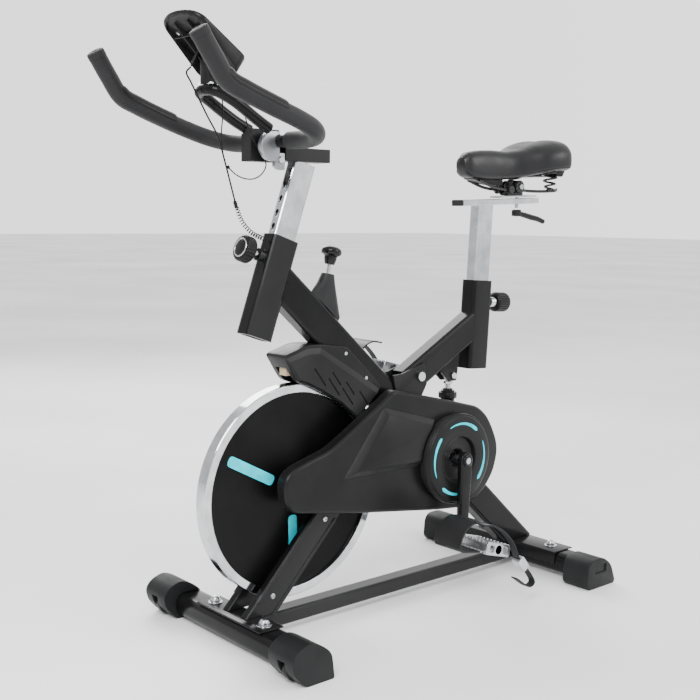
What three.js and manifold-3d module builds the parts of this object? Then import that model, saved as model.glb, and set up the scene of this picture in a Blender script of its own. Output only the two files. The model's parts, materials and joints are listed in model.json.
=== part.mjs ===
// Indoor spin bike: flywheel, belt drive, sliding handlebar and seat posts, sprung seat strut.
// Millimetres. +X is the rider's left, +Y the rear, +Z up. The floor is Z = 0.
import * as THREE from "three";
import { mergeVertices } from "three/addons/utils/BufferGeometryUtils.js";
import Module from "manifold-3d";

const wasm = await Module();
wasm.setup();

// ---------------------------------------------------------------- driving dimensions
const GAP = 0.3; // clearance between pieces that touch
const CENTRE_Y = 17; // the dimensions below are taken from a line this far ahead of the centre

const FRONT_TUBE = { y: -314, z: 28, length: 384 };
const REAR_TUBE = { y: 478, z: 32, length: 416 };
const STAB_SECTION = { depth: 62, height: 46, radius: 20 };
const FRONT_CAP = { inner: 171, outer: 242 };
const REAR_CAP = { inner: 184, outer: 252 };
const WHEEL = { x: 208, y: -343, z: 26, radius: 23, width: 15, slot: 20, pin: 4 };

const STRUT = { width: 40, depth: 66, top: [-240, 689.9], bottom: [520, 10.2] };
const HEAD = { top: [-216.5, 759], axis: [-0.325, -0.946], length: 193 };
const SEAT_TUBE = { top: [325.5, 665], axis: [-0.0566, -0.9984], length: 194 };
const SLEEVE = { width: 40, depth: 60, radius: 8 };
const POST = { width: 25, depth: 51, radius: 5 };

const FLYWHEEL = { y: -192, z: 275, radius: 208, rimInner: 191.5, width: 27, axle: 8 };
const CRANK = { y: 187, z: 298, arm: 167, lean: 5, axle: 8.5, inside: 98, outside: 112, pulley: 85 };
const BELT = { x0: 44, x1: 56, smallPulley: 26, thickness: 3 };
const COVER = { back: 38.6, side: 58, face: 64, panel: 76, wall: 3 };
const CRANK_DISC = { radius: 97, back: 77, face: 90 };
const FORK = { inner: 20.3, outer: 38.3, depth: 53, foot: [-290, 55.2], dir: [0.689, 0.725] };

const SEAT_PIVOT = [129, 471];
const SHOCK_EYE = [239, 462];
const PEDAL_TILT = -16; // degrees about X, toe up
const PEDAL_WIDTH = 92;

// ---------------------------------------------------------------- shape helpers
const v3 = (x, y, z) => new THREE.Vector3(x, y, z);

/** A solid's triangles as a three.js geometry. */
function geometryOf(made) {
  const data = made.getMesh();
  const positions = new Float32Array(data.numVert * 3);
  for (let i = 0; i < data.numVert; i++) {
    const start = i * data.numProp;
    positions.set(data.vertProperties.subarray(start, start + 3), i * 3);
  }
  const geometry = new THREE.BufferGeometry();
  geometry.setAttribute("position", new THREE.BufferAttribute(positions, 3));
  geometry.setIndex(new THREE.BufferAttribute(new Uint32Array(data.triVerts), 1));
  return geometry;
}

/** A solid moved by a matrix; a mirroring matrix keeps its faces pointing out. */
function moved(made, matrix) {
  const geometry = geometryOf(made).applyMatrix4(matrix);
  if (matrix.determinant() < 0) {
    geometry.index.array.reverse();
  }
  return solid(geometry);
}

/** A closed three.js geometry as a manifold solid. */
function solid(geometry) {
  const bare = geometry.clone();
  bare.deleteAttribute("normal");
  bare.deleteAttribute("uv");
  const merged = mergeVertices(bare, 1e-3);
  const made = new wasm.Manifold(
    new wasm.Mesh({
      numProp: 3,
      vertProperties: new Float32Array(merged.attributes.position.array),
      triVerts: new Uint32Array(merged.index.array),
    }),
  );
  return made;
}

/** Joins any number of solids. */
function join(first, ...others) {
  return others.reduce((sum, next) => sum.add(next), first);
}

/** Takes any number of solids away from the first. */
function cut(first, ...others) {
  return others.reduce((rest, next) => rest.subtract(next), first);
}

/** A shape, extruded by length, with its own x, y, z axes laid along three given directions. */
function extrude(points, length, xAxis, yAxis, origin) {
  const shape = new THREE.Shape(points.map(([a, b]) => new THREE.Vector2(a, b)));
  const geometry = new THREE.ExtrudeGeometry(shape, { depth: length, bevelEnabled: false });
  const zAxis = new THREE.Vector3().crossVectors(xAxis, yAxis);
  const frame = new THREE.Matrix4().makeBasis(xAxis, yAxis, zAxis).setPosition(origin);
  return solid(geometry.applyMatrix4(frame));
}

/** A side profile of [y, z] points, extruded from x0 to x1. */
function sidePlate(points, x0, x1) {
  return extrude(points, x1 - x0, v3(0, 1, 0), v3(0, 0, 1), v3(x0, 0, 0));
}

/** A plan outline of [x, y] points, extruded from z0 to z1. */
function floorPlate(points, z0, z1) {
  return extrude(points, z1 - z0, v3(1, 0, 0), v3(0, 1, 0), v3(0, 0, z0));
}

/** A box given by its lowest and highest corners. */
function box(low, high) {
  const size = high.map((value, i) => value - low[i]);
  const middle = high.map((value, i) => (value + low[i]) / 2);
  return solid(new THREE.BoxGeometry(...size).translate(...middle));
}

/** Corner points of a rectangle with rounded corners, centred on zero. */
function roundedRect(width, height, radius, steps = 3) {
  const points = [];
  const corners = [[1, 1], [-1, 1], [-1, -1], [1, -1]];
  corners.forEach(([sx, sy], quarter) => {
    for (let i = 0; i <= steps; i++) {
      const angle = ((quarter + i / steps) * Math.PI) / 2;
      const x = sx * (width / 2 - radius) + radius * Math.cos(angle);
      const y = sy * (height / 2 - radius) + radius * Math.sin(angle);
      points.push([x, y]);
    }
  });
  return points;
}

/** A rectangular tube's outside, between two [y, z] points; its width lies along X. */
function beam(from, to, width, depth, radius, x = 0) {
  const dir = v3(0, to[0] - from[0], to[1] - from[1]);
  const length = dir.length();
  dir.normalize();
  const across = new THREE.Vector3().crossVectors(dir, v3(1, 0, 0));
  const section = roundedRect(width, depth, radius);
  return extrude(section, length, v3(1, 0, 0), across, v3(x, from[0], from[1]));
}

/** A rectangular tube's outside along X. */
function crossBeam(x0, x1, y, z, depth, height, radius) {
  const section = roundedRect(depth, height, radius);
  return extrude(section, x1 - x0, v3(0, 1, 0), v3(0, 0, 1), v3(x0, y, z));
}

/** A cylinder, or a cone when the radii differ, between two points. */
function rod(from, to, radius, sides = 16, endRadius = radius) {
  const a = v3(...from);
  const dir = v3(...to).sub(a);
  const geometry = new THREE.CylinderGeometry(endRadius, radius, dir.length(), sides);
  geometry.translate(0, dir.length() / 2, 0);
  const turn = new THREE.Quaternion().setFromUnitVectors(v3(0, 1, 0), dir.clone().normalize());
  return solid(geometry.applyQuaternion(turn).translate(a.x, a.y, a.z));
}

/** A washer-shaped solid about the X axis. */
function ringX(x0, x1, [y, z], outer, inner, sides = 16) {
  const disc = rod([x0, y, z], [x1, y, z], outer, sides);
  return cut(disc, rod([x0 - 1, y, z], [x1 + 1, y, z], inner, sides));
}

/** A round bar bent along a smooth curve through the points. */
function bentBar(points, radius, sides, steps) {
  const curve = new THREE.CatmullRomCurve3(points.map((p) => v3(...p)), false, "centripetal");
  const circle = [];
  for (let i = 0; i < sides; i++) {
    const angle = (i * 2 * Math.PI) / sides;
    circle.push(new THREE.Vector2(radius * Math.cos(angle), radius * Math.sin(angle)));
  }
  const options = { steps, extrudePath: curve, bevelEnabled: false };
  return solid(new THREE.ExtrudeGeometry(new THREE.Shape(circle), options));
}

/** Sections of equally many points, skinned in order; end caps follow the outline. */
function loft(sections, flatten) {
  const count = sections[0].length;
  const vertices = sections.flat().flatMap((p) => [p.x, p.y, p.z]);
  const faces = [];
  for (let s = 0; s + 1 < sections.length; s++) {
    for (let i = 0; i < count; i++) {
      const a = s * count + i;
      const b = s * count + ((i + 1) % count);
      faces.push(a, b, b + count, a, b + count, a + count);
    }
  }
  const cap = THREE.ShapeUtils.triangulateShape(sections[0].map(flatten), []);
  const last = (sections.length - 1) * count;
  for (const [a, b, c] of cap) {
    faces.push(a, c, b, last + a, last + b, last + c);
  }
  const geometry = new THREE.BufferGeometry();
  geometry.setAttribute("position", new THREE.Float32BufferAttribute(vertices, 3));
  geometry.setIndex(faces);
  return solid(geometry);
}

/** Points in anticlockwise order. */
function anticlockwise(points) {
  const area = THREE.ShapeUtils.area(points.map(([a, b]) => new THREE.Vector2(a, b)));
  return area > 0 ? points : [...points].reverse();
}

/** A side profile moved inwards by a distance, corner by corner. */
function inset(points, distance) {
  const ring = anticlockwise(points);
  return ring.map((point, i) => {
    const before = ring[(i + ring.length - 1) % ring.length];
    const after = ring[(i + 1) % ring.length];
    const a = new THREE.Vector2(point[0] - before[0], point[1] - before[1]).normalize();
    const b = new THREE.Vector2(after[0] - point[0], after[1] - point[1]).normalize();
    const normal = new THREE.Vector2(-a.y - b.y, a.x + b.x);
    const scale = distance / Math.max(0.3, (normal.x * -b.y + normal.y * b.x));
    return [point[0] + normal.x * scale, point[1] + normal.y * scale];
  });
}

/** A side profile skinned through [x, inset] steps, for bevelled edges. */
function bevelledPlate(points, steps) {
  const sections = steps.map(([x, by]) => inset(points, by).map(([y, z]) => v3(x, y, z)));
  return loft(sections, (p) => new THREE.Vector2(p.y, p.z));
}

const mirrorX = (made) => moved(made, new THREE.Matrix4().makeScale(-1, 1, 1));

const bike = new THREE.Group();
bike.name = "spin_bike";
bike.position.y = -CENTRE_Y;

/** Adds one named mesh to the bike. */
function part(name, made, material) {
  const flat = geometryOf(made).toNonIndexed();
  flat.computeVertexNormals();
  const mesh = new THREE.Mesh(flat, material());
  mesh.name = name;
  bike.add(mesh);
}

/** Adds a left piece (+X) and its mirror image on the right. */
function pair(name, made, material) {
  part(name + "_left", made, material);
  part(name + "_right", mirrorX(made), material);
}

// ---------------------------------------------------------------- materials
const standard = (color, roughness, metalness) => () =>
  new THREE.MeshStandardMaterial({ color, roughness, metalness });
const blackPaint = standard(0x141416, 0.35, 0.2);
const blackPlastic = standard(0x1b1c1e, 0.5, 0);
const rubber = standard(0x151515, 0.8, 0);
const chrome = standard(0xd8dadd, 0.12, 1);
const steel = standard(0xa8abb0, 0.35, 1);
const foam = standard(0x202123, 0.9, 0);
const felt = standard(0xb89468, 0.95, 0);
const vinyl = standard(0x17181a, 0.45, 0);

// ---------------------------------------------------------------- stabilisers
const frontCapProfile = [
  [-281, 1.5], [-283, 24], [-287, 49], [-308, 66], [-325, 74],
  [-337, 76], [-361, 68], [-375, 52], [-370, 28], [-345, 0], [-284, 0],
];
const rearCapProfile = [
  [432, 0], [424, 10], [427, 50], [439, 65], [480, 66], [509, 46], [524, 8], [520, 0],
];

function stabiliserTube({ y, z, length }, grow = 0) {
  const { depth, height, radius } = STAB_SECTION;
  const half = length / 2 + grow;
  return crossBeam(-half, half, y, z, depth + 2 * grow, height + 2 * grow, radius + grow);
}

/** An end cap whose floor stays flat while its other edges are bevelled at both ends. */
function endCap(profile, inner, outer) {
  const full = anticlockwise(profile);
  const small = inset(profile, 5).map(([y, z], i) => [y, full[i][1] < 2 ? full[i][1] : z]);
  const sections = [
    [inner, small], [inner + 4, full], [outer - 6, full], [outer, small],
  ].map(([x, outline]) => outline.map(([y, z]) => v3(x, y, z)));
  return loft(sections, (p) => new THREE.Vector2(p.y, p.z));
}

function frontCap() {
  const { x, y, z, radius, slot, pin } = WHEEL;
  const room = rod([x - slot / 2, y, z], [x + slot / 2, y, z], radius + 3, 20);
  const mouth = box([x - slot / 2, y - 60, z - 60], [x + slot / 2, y, z + radius - 4]);
  const cap = endCap(frontCapProfile, FRONT_CAP.inner, FRONT_CAP.outer);
  const wheelPin = rod([x - slot / 2 - 2, y, z], [x + slot / 2 + 2, y, z], pin, 12);
  return join(cut(cap, stabiliserTube(FRONT_TUBE, GAP), room, mouth), wheelPin);
}

function rearCap() {
  const cap = endCap(rearCapProfile, REAR_CAP.inner, REAR_CAP.outer);
  const recess = box([REAR_CAP.outer - 3, 450, 33], [REAR_CAP.outer + 2, 490, 52]);
  return cut(cap, stabiliserTube(REAR_TUBE, GAP), recess);
}

function transportWheel() {
  const { x, y, z, radius, width, pin } = WHEEL;
  return ringX(x - width / 2, x + width / 2, [y, z], radius, pin + GAP, 20);
}

/** A flat plate with a domed nut near each end. */
function boltedPlate(outline, z0, z1, nutX, nutY) {
  const plate = floorPlate(outline, z0, z1);
  const nuts = [-1, 1].map((side) =>
    rod([side * nutX, nutY, z1 - 1], [side * nutX, nutY, z1 + 11], 10.5, 12, 6));
  return join(plate, ...nuts);
}

function forkBasePlate() {
  const outline = [[-103, -341], [103, -341], [103, -287], [-103, -287]];
  return boltedPlate(outline, 51.3, 54.9, 79.6, -314);
}

function rearSaddlePlate() {
  const outline = [[-145, 452], [145, 452], [145, 508], [-145, 508]];
  const lip = box([-145, 443.2, 30], [145, 446.6, 58]);
  const bridge = box([-145, 443.2, 55.4], [145, 453, 58]);
  return join(boltedPlate(outline, 55.4, 58, 105, 480), lip, bridge);
}

part("front_tube", stabiliserTube(FRONT_TUBE), blackPaint);
part("rear_tube", stabiliserTube(REAR_TUBE), blackPaint);
pair("front_cap", frontCap(), rubber);
pair("rear_cap", rearCap(), rubber);
pair("transport_wheel", transportWheel(), rubber);
const basePlate = forkBasePlate();
const saddlePlate = rearSaddlePlate();
part("fork_base_plate", basePlate, blackPaint);
part("rear_saddle_plate", saddlePlate, blackPaint);

// ---------------------------------------------------------------- frame
function baseBar() {
  const bar = beam([-300, 29], [470, 29], 40, 30, 6);
  const lip = box([-150, 440, 0], [150, 480, 100]);
  return cut(bar, stabiliserTube(FRONT_TUBE, GAP), stabiliserTube(REAR_TUBE, GAP), lip);
}

function along(point, dir, distance) {
  return [point[0] + dir[0] * distance, point[1] + dir[1] * distance];
}

/** One flat fork leg with the plate that holds the flywheel's bearing. */
function forkLeg() {
  const { inner, outer, depth, foot, dir } = FORK;
  const middle = (inner + outer) / 2;
  const leg = beam(along(foot, dir, -60), along(foot, dir, 468), outer - inner, depth, 3, middle);
  const axlePlate = sidePlate(
    [[-214, 256], [-220, 278], [-207, 299], [-50, 345], [-60, 280], [-140, 215], [-175, 243]],
    inner, inner + 6,
  );
  const bearing = rod([inner, FLYWHEEL.y, FLYWHEEL.z], [inner + 14, FLYWHEEL.y, FLYWHEEL.z], 17);
  const bore = rod([0, FLYWHEEL.y, FLYWHEEL.z], [60, FLYWHEEL.y, FLYWHEEL.z], FLYWHEEL.axle + GAP);
  const floor = box([0, -420, -50], [60, -180, 55.2]);
  return cut(join(leg, axlePlate, bearing), bore, floor);
}

function sleeveBody({ top, axis, length }, grow = 0) {
  const { width, depth, radius } = SLEEVE;
  const from = along(top, axis, -grow);
  const to = along(top, axis, length + grow);
  return beam(from, to, width + 2 * grow, depth + 2 * grow, radius + grow);
}

/** A sleeve tube, open at both ends, with a threaded boss for its locking knob. */
function sleeveTube(tube, knobAt, knobDir) {
  const { top, axis, length } = tube;
  const hollow = beam(
    along(top, axis, -5), along(top, axis, length + 5),
    POST.width + 2 * GAP, POST.depth + 2 * GAP, POST.radius + GAP,
  );
  const start = along(knobAt, knobDir, -8);
  const end = along(knobAt, knobDir, 10);
  const boss = rod([0, ...start], [0, ...end], 12);
  const thread = rod([0, ...along(knobAt, knobDir, -14)], [0, ...along(end, knobDir, 2)], 5.3);
  return cut(join(sleeveBody(tube), boss), hollow, thread);
}

const HEAD_KNOB = { at: [-262.5, 727.5], dir: [-0.946, 0.325] };
const SEAT_KNOB = { at: [352.8, 616], dir: [0.9984, -0.0566] };
const headSleeve = sleeveTube(HEAD, HEAD_KNOB.at, HEAD_KNOB.dir);

/** The long main beam, its gusset, the bottom bracket and the seat strut's two pivot plates. */
function mainStrut() {
  const { top, bottom, width, depth } = STRUT;
  const tube = beam(top, bottom, width, depth, 7);
  const gusset = sidePlate(
    [[-233, 640], [-188, 599], [-146, 566], [-120, 550], [-150, 590], [-225, 660]], -14, 14,
  );
  const bracket = [
    [58, 456], [54, 479], [77, 480], [141, 498], [150, 453], [136, 430], [120, 392], [66, 436],
  ];
  const cheeks = [-24.5, 20.2].map((x) => cut(
    sidePlate(bracket, x, x + 4.3),
    rod([-40, ...SEAT_PIVOT], [40, ...SEAT_PIVOT], 6.3, 12),
  ));
  const shell = rod([-60, CRANK.y, CRANK.z], [34, CRANK.y, CRANK.z], 21);
  const crankBore = rod([-70, CRANK.y, CRANK.z], [60, CRANK.y, CRANK.z], CRANK.axle + GAP);
  const cheekFoot = [[66, 436], [58, 456], [75, 456], [120, 402], [120, 392]];
  const inCheeks = [-24.5, 19].map((x) => sidePlate(cheekFoot, x, x + 5.5));
  const floor = box([-60, 380, -60], [60, 600, 58.3]);
  const frame = join(tube, gusset, ...cheeks, ...inCheeks, shell);
  return cut(frame, crankBore, sleeveBody(HEAD, GAP), floor, brakeRodRoom());
}

// ---------------------------------------------------------------- brake
const BRAKE = { base: [-114, 635], axis: [0.2, 0.98] };

const shroudProfile = [
  [-232, 541], [-174, 558], [-140, 557], [-76, 548], [18, 460], [1, 449], [-57, 409],
  [-87, 435], [-139, 465], [-176, 481], [-198, 488], [-212, 508],
];

/** The clear way for the brake's rod through the strut and shroud. */
function brakeRodRoom() {
  const from = along(BRAKE.base, BRAKE.axis, -160);
  const to = along(BRAKE.base, BRAKE.axis, 60);
  return rod([0, ...from], [0, ...to], 5, 12);
}

/** Half of the brake's plastic shroud: a shell around the strut's lower side. */
function shroudHalf() {
  const shell = bevelledPlate(shroudProfile, [[0.2, 0], [29, 0], [35, 4]]);
  const strut = beam(STRUT.top, STRUT.bottom, STRUT.width + 2 * GAP, STRUT.depth + 2 * GAP, 5);
  const room = sidePlate(
    [[-218, 495], [-215, 532], [-172, 548], [-100, 545], [-100, 500], [-150, 470], [-200, 470]], -1, 17,
  );
  const wheelRoom = rod([-1, FLYWHEEL.y, FLYWHEEL.z], [17, FLYWHEEL.y, FLYWHEEL.z], 214, 48);
  return cut(shell, strut, room, wheelRoom, brakeRodRoom());
}

/** The sliding rod, the arm it pushes and the pad's steel backing. */
function brakeRod() {
  const foot = along(BRAKE.base, BRAKE.axis, -118);
  const top = along(BRAKE.base, BRAKE.axis, 74);
  const arm = sidePlate([[-211, 516], [-211, 520], [foot[0] + 8, 524], [foot[0] + 8, 516]], -9, 9);
  return join(rod([0, ...foot], [0, ...top], 4, 12), arm);
}

/** The rubber boot that seals the rod where it enters the strut. */
function knobBoot() {
  const along3 = v3(0, 0.7454, -0.6667);
  const strutTop = STRUT.depth / 2 + GAP;
  const lift = v3(0, 0.6667, 0.7454).multiplyScalar(strutTop);
  const base = v3(0, -113, 542.3 - 0.8944 * (-113 + 75)).add(lift).add(v3(0, -24, 21));
  const ring = (centre, halfWidth, halfLength, tilt) => {
    const points = [];
    for (let i = 0; i < 12; i++) {
      const angle = (i * Math.PI) / 6;
      const side = v3(halfWidth * Math.cos(angle), 0, 0);
      const run = tilt.clone().multiplyScalar(halfLength * Math.sin(angle));
      points.push(centre.clone().add(side).add(run));
    }
    return points;
  };
  const axis = v3(0, BRAKE.axis[0], BRAKE.axis[1]);
  const level = v3(0, BRAKE.axis[1], -BRAKE.axis[0]);
  const out = v3(0, 0.6667, 0.7454);
  const sections = [
    ring(base, 19, 46, along3),
    ring(base.clone().addScaledVector(out, 10), 19, 45, along3),
    ring(v3(0, ...BRAKE.base).addScaledVector(axis, 38), 15, 19, level),
    ring(v3(0, ...BRAKE.base).addScaledVector(axis, 56), 12.5, 13, level),
  ];
  const body = loft(sections, (p) => new THREE.Vector2(p.x, p.y));
  const lower = along(BRAKE.base, BRAKE.axis, -60);
  const upper = along(BRAKE.base, BRAKE.axis, 70);
  const hole = rod([0, ...lower], [0, ...upper], 4.6, 12);
  const strut = beam(STRUT.top, STRUT.bottom, STRUT.width + 2 * GAP, STRUT.depth + 2 * GAP, 7);
  return cut(body, hole, strut);
}

/** The mushroom knob that is turned for resistance and pushed to stop. */
function brakeKnob() {
  const at = (distance) => [0, ...along(BRAKE.base, BRAKE.axis, distance)];
  return join(
    rod(at(74.4), at(84), 10, 16, 12),
    rod(at(83), at(92), 13, 16, 20),
    rod(at(91.5), at(104), 20, 16, 19),
    rod(at(103.5), at(110), 19, 16, 11),
  );
}

const strut = mainStrut();
part("base_bar", baseBar(), blackPaint);
pair("fork_leg", forkLeg(), blackPaint);
part("main_strut", strut, blackPaint);
part("head_sleeve", headSleeve, blackPaint);
pair("brake_shroud", shroudHalf(), blackPlastic);
part("brake_rod", brakeRod(), steel);
part("brake_pad", box([-10, -212, 500], [10, -160, 515.6]), felt);
part("knob_boot", knobBoot(), rubber);
part("brake_knob", brakeKnob(), blackPlastic);

// ---------------------------------------------------------------- flywheel, belt and cover
const flywheelCentre = [FLYWHEEL.y, FLYWHEEL.z];
const crankCentre = [CRANK.y, CRANK.z];

function flywheelWeb() {
  const web = rod([-3, ...flywheelCentre], [3, ...flywheelCentre], FLYWHEEL.rimInner - GAP, 48);
  const hub = rod([-14, ...flywheelCentre], [14, ...flywheelCentre], 32, 24);
  const bore = rod([-20, ...flywheelCentre], [20, ...flywheelCentre], FLYWHEEL.axle + GAP);
  return cut(join(web, hub), bore);
}

function flywheelAxle() {
  const shaft = rod([-44, ...flywheelCentre], [57.6, ...flywheelCentre], FLYWHEEL.axle);
  const pulley = rod([BELT.x0, ...flywheelCentre], [BELT.x1, ...flywheelCentre], BELT.smallPulley, 24);
  const endNut = rod([-44, ...flywheelCentre], [-36, ...flywheelCentre], 14, 6);
  return join(shaft, pulley, endNut);
}

function crankAxle() {
  const reach = CRANK.outside + 3;
  const shaft = rod([-reach, ...crankCentre], [reach, ...crankCentre], CRANK.axle);
  const pulley = rod([BELT.x0, ...crankCentre], [BELT.x1, ...crankCentre], CRANK.pulley, 48);
  return join(shaft, pulley);
}

/** Outline of a belt round both pulleys, standing off them by a distance. */
function beltLine(standOff) {
  const a = Math.atan2(CRANK.z - FLYWHEEL.z, CRANK.y - FLYWHEEL.y);
  const distance = Math.hypot(CRANK.z - FLYWHEEL.z, CRANK.y - FLYWHEEL.y);
  const lean = Math.acos((CRANK.pulley - BELT.smallPulley) / distance);
  const points = [];
  const steps = 16;
  const arc = ([y, z], radius, from, to) => {
    for (let i = 0; i <= steps; i++) {
      const angle = from + ((to - from) * i) / steps;
      points.push([y + radius * Math.cos(angle), z + radius * Math.sin(angle)]);
    }
  };
  const rear = Math.PI - lean;
  arc(crankCentre, CRANK.pulley + standOff, a - rear, a + rear);
  arc(flywheelCentre, BELT.smallPulley + standOff, a + rear, a + 2 * Math.PI - rear);
  return points;
}

function driveBelt() {
  const outer = sidePlate(beltLine(0.6 + BELT.thickness), BELT.x0, BELT.x1);
  return cut(outer, sidePlate(beltLine(0.6), BELT.x0 - 1, BELT.x1 + 1));
}

const coverOutline = [
  [-255, 300], [-249, 318], [-231, 332], [-194, 343], [-146, 356], [-101, 381], [-52, 411],
  [-16, 432], [7, 447], [22, 457], [177, 421], [272, 397], [300, 375], [316, 352], [334, 316],
  [338, 288], [326, 247], [302, 216], [272, 194], [224, 181], [150, 188], [-63, 218],
  [-230, 246], [-250, 264],
];
const coverPanel = [[-4, 412], [122, 376], [94, 304], [-88, 306]];

/** The outer belt cover, open at its back, with a raised panel on its face. */
function beltCover() {
  const { back, side, face, panel, wall } = COVER;
  const shell = bevelledPlate(coverOutline, [[back, 0], [side, 0], [face, 7]]);
  const raised = bevelledPlate(coverPanel, [[face - 2, -12], [panel, 0]]);
  const hollow = sidePlate(inset(coverOutline, wall), back - 1, side);
  const crankHole = rod([30, ...crankCentre], [90, ...crankCentre], 18, 24);
  const discSeat = rod([side - 1, ...crankCentre], [CRANK_DISC.back - GAP, ...crankCentre], 91, 40);
  const discRoom = rod([CRANK_DISC.back - GAP, ...crankCentre], [panel + 5, ...crankCentre], 99, 40);
  const raisedSeat = cut(raised, discRoom);
  return cut(join(shell, raisedSeat, discSeat), hollow, crankHole);
}

function beltCoverBack() {
  const { back, wall } = COVER;
  const plate = sidePlate(inset(coverOutline, wall + 0.4), back, back + 2);
  const axleHole = rod([30, ...flywheelCentre], [50, ...flywheelCentre], 12);
  const crankHole = rod([30, ...crankCentre], [50, ...crankCentre], 14);
  return cut(plate, axleHole, crankHole);
}

/** The round trim disc round the crank's root, dished towards its centre. */
function crankDisc() {
  const { radius, back, face } = CRANK_DISC;
  const at = (x) => [x, ...crankCentre];
  const body = join(
    rod(at(back), at(face - 4), radius, 40, radius - 2),
    rod(at(face - 5), at(face), radius - 2, 40, radius - 8),
  );
  const dish = rod(at(face - 9), at(face + 1), 40, 24, 46);
  const hole = rod(at(back - 1), at(face + 1), 22, 24);
  return cut(body, dish, hole);
}

const flywheelFace = FLYWHEEL.width / 2;
part("flywheel_rim",
  ringX(-flywheelFace, flywheelFace, flywheelCentre, FLYWHEEL.radius, FLYWHEEL.rimInner, 48), chrome);
part("flywheel_web", flywheelWeb(), blackPaint);
part("flywheel_axle", flywheelAxle(), steel);
part("crank_axle", crankAxle(), steel);
part("drive_belt", driveBelt(), rubber);
part("belt_cover", beltCover(), blackPlastic);
part("belt_cover_back", beltCoverBack(), blackPlastic);
part("crank_disc", crankDisc(), blackPlastic);

// ---------------------------------------------------------------- cranks and pedals
/** A crank arm along +Z from the crank's axis, with the pedal's fixed spindle. */
function crankArm(direction, side) {
  const { y, z, arm, axle, inside, outside } = CRANK;
  const end = z + direction * arm;
  const foot = y + direction * CRANK.lean;
  const profile = [[y - 17, z - direction * 10], [y - 9, z - direction * 17], [y + 9, z - direction * 17],
    [y + 17, z - direction * 10], [foot + 12, end], [foot + 7, end + direction * 11],
    [foot - 7, end + direction * 11], [foot - 12, end]];
  const blade = sidePlate(profile, inside, outside);
  const bore = rod([90, y, z], [120, y, z], axle + GAP);
  const spindle = rod([outside - 2, foot, end], [outside + PEDAL_WIDTH, foot, end], 5, 12);
  const made = join(cut(blade, bore), spindle);
  return side > 0 ? made : mirrorX(made);
}

/** A cage pedal about its spindle, then its tilt; local forward is -Y. */
function pedalBody() {
  const x0 = CRANK.outside + 4;
  const x1 = x0 + PEDAL_WIDTH;
  const frame = cut(
    floorPlate(
      [[x0, -40], [x1 - 9, -40], [x1, -27], [x1, 27], [x1 - 9, 40], [x0, 40]], -13, 13),
    box([x0 + 5, -34, -14], [x1 - 6, 34, 14]),
  );
  const barrel = rod([x0, 0, 0], [x1, 0, 0], 10);
  const bore = rod([x0 - 1, 0, 0], [x1 + 1, 0, 0], 5 + GAP);
  return cut(join(frame, barrel), bore);
}

/** A constant-thickness band along a side profile's centre line. */
function band(line, thickness, x0, x1) {
  const offset = (side) => line.map(([y, z], i) => {
    const [ay, az] = line[Math.max(i - 1, 0)];
    const [by, bz] = line[Math.min(i + 1, line.length - 1)];
    const length = Math.hypot(by - ay, bz - az);
    const reach = (side * thickness) / 2 / length;
    return [y - (bz - az) * reach, z + (by - ay) * reach];
  });
  return sidePlate([...offset(1), ...offset(-1).reverse()], x0, x1);
}

/** The toe cage in front of the pedal and the strap that runs from it past the pedal's end. */
function toeClip() {
  const x0 = CRANK.outside + 4;
  const x1 = x0 + PEDAL_WIDTH;
  const bow = [[-42.5, -10], [-70, -13], [-101, -13], [-105, 8], [-95, 31], [-74, 46], [-48, 49]];
  const line = [
    [-80, 44.5], [-48, 48], [-14, 40], [23, 19], [54, -12], [98, -38], [117, -56], [106, -65], [56, -51],
  ];
  const cage = band(bow, 3, x0 + 10, x1 - 10);
  const strap = band(line, 3, x1 + 1, x1 + 17);
  const bridge = band([[-76, 45.5], [-60, 48]], 3, x1 - 12, x1 + 16);
  return join(cage, strap, bridge);
}

/** Puts a pedal piece on its crank: down on the left, up on the right. */
function onCrank(piece, direction, side) {
  const place = new THREE.Matrix4()
    .makeRotationX(THREE.MathUtils.degToRad(PEDAL_TILT))
    .setPosition(0, CRANK.y + direction * CRANK.lean, CRANK.z + direction * CRANK.arm);
  const placed = moved(piece, place);
  return side > 0 ? placed : mirrorX(placed);
}

for (const [name, direction, side] of [["left", -1, 1], ["right", 1, -1]]) {
  part("crank_arm_" + name, crankArm(direction, side), blackPaint);
  part("pedal_" + name, onCrank(pedalBody(), direction, side), steel);
  part("toe_clip_" + name, onCrank(toeClip(), direction, side), blackPlastic);
}

// ---------------------------------------------------------------- handlebar and console
const POST_TOP = -149; // distance along the head's axis, above the sleeve's top
const PIN_DEPTH = 42; // distance of the locking knob below the sleeve's top
const HOLE_PITCH = 27;

/** Chrome post with a row of blind locking holes in its front face. */
function handlebarPost() {
  const { top, axis } = HEAD;
  const post = beam(along(top, axis, POST_TOP), along(top, axis, 180), POST.width, POST.depth, POST.radius);
  const face = [-axis[1] * -POST.depth / 2, axis[0] * -POST.depth / 2];
  const holes = [];
  for (let i = -1; i < 6; i++) {
    const at = along(along(top, axis, PIN_DEPTH - i * HOLE_PITCH), face, 1);
    holes.push(rod([0, ...along(at, face, 0.1)], [0, ...along(at, face, -0.25)], 4.5, 8));
  }
  return cut(post, ...holes);
}

const handlebarHalf = [
  [167, -505, 1086], [169, -478, 1046], [170, -452, 1012], [171, -420, 998], [172, -366, 979],
  [171, -309, 961], [162, -272, 949], [138, -246, 940], [104, -236, 936], [40, -235, 936],
];

function mirrored(points) {
  return [...points, ...points.toReversed().map(([x, y, z]) => [-x, y, z])];
}

const consoleLoopHalf = [[30, -268, 956], [33, -300, 972], [33, -348, 1000], [22, -379, 1015]];
const handlebar = bentBar(mirrored(handlebarHalf), 16, 10, 40);
const consoleLoop = bentBar(mirrored(consoleLoopHalf), 10.5, 8, 22);
const handlebarRoom = bentBar(mirrored(handlebarHalf), 16.6, 10, 40);
const loopRoom = bentBar(mirrored([[30, -262, 951], ...consoleLoopHalf.slice(1)]), 12, 8, 22);

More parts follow.
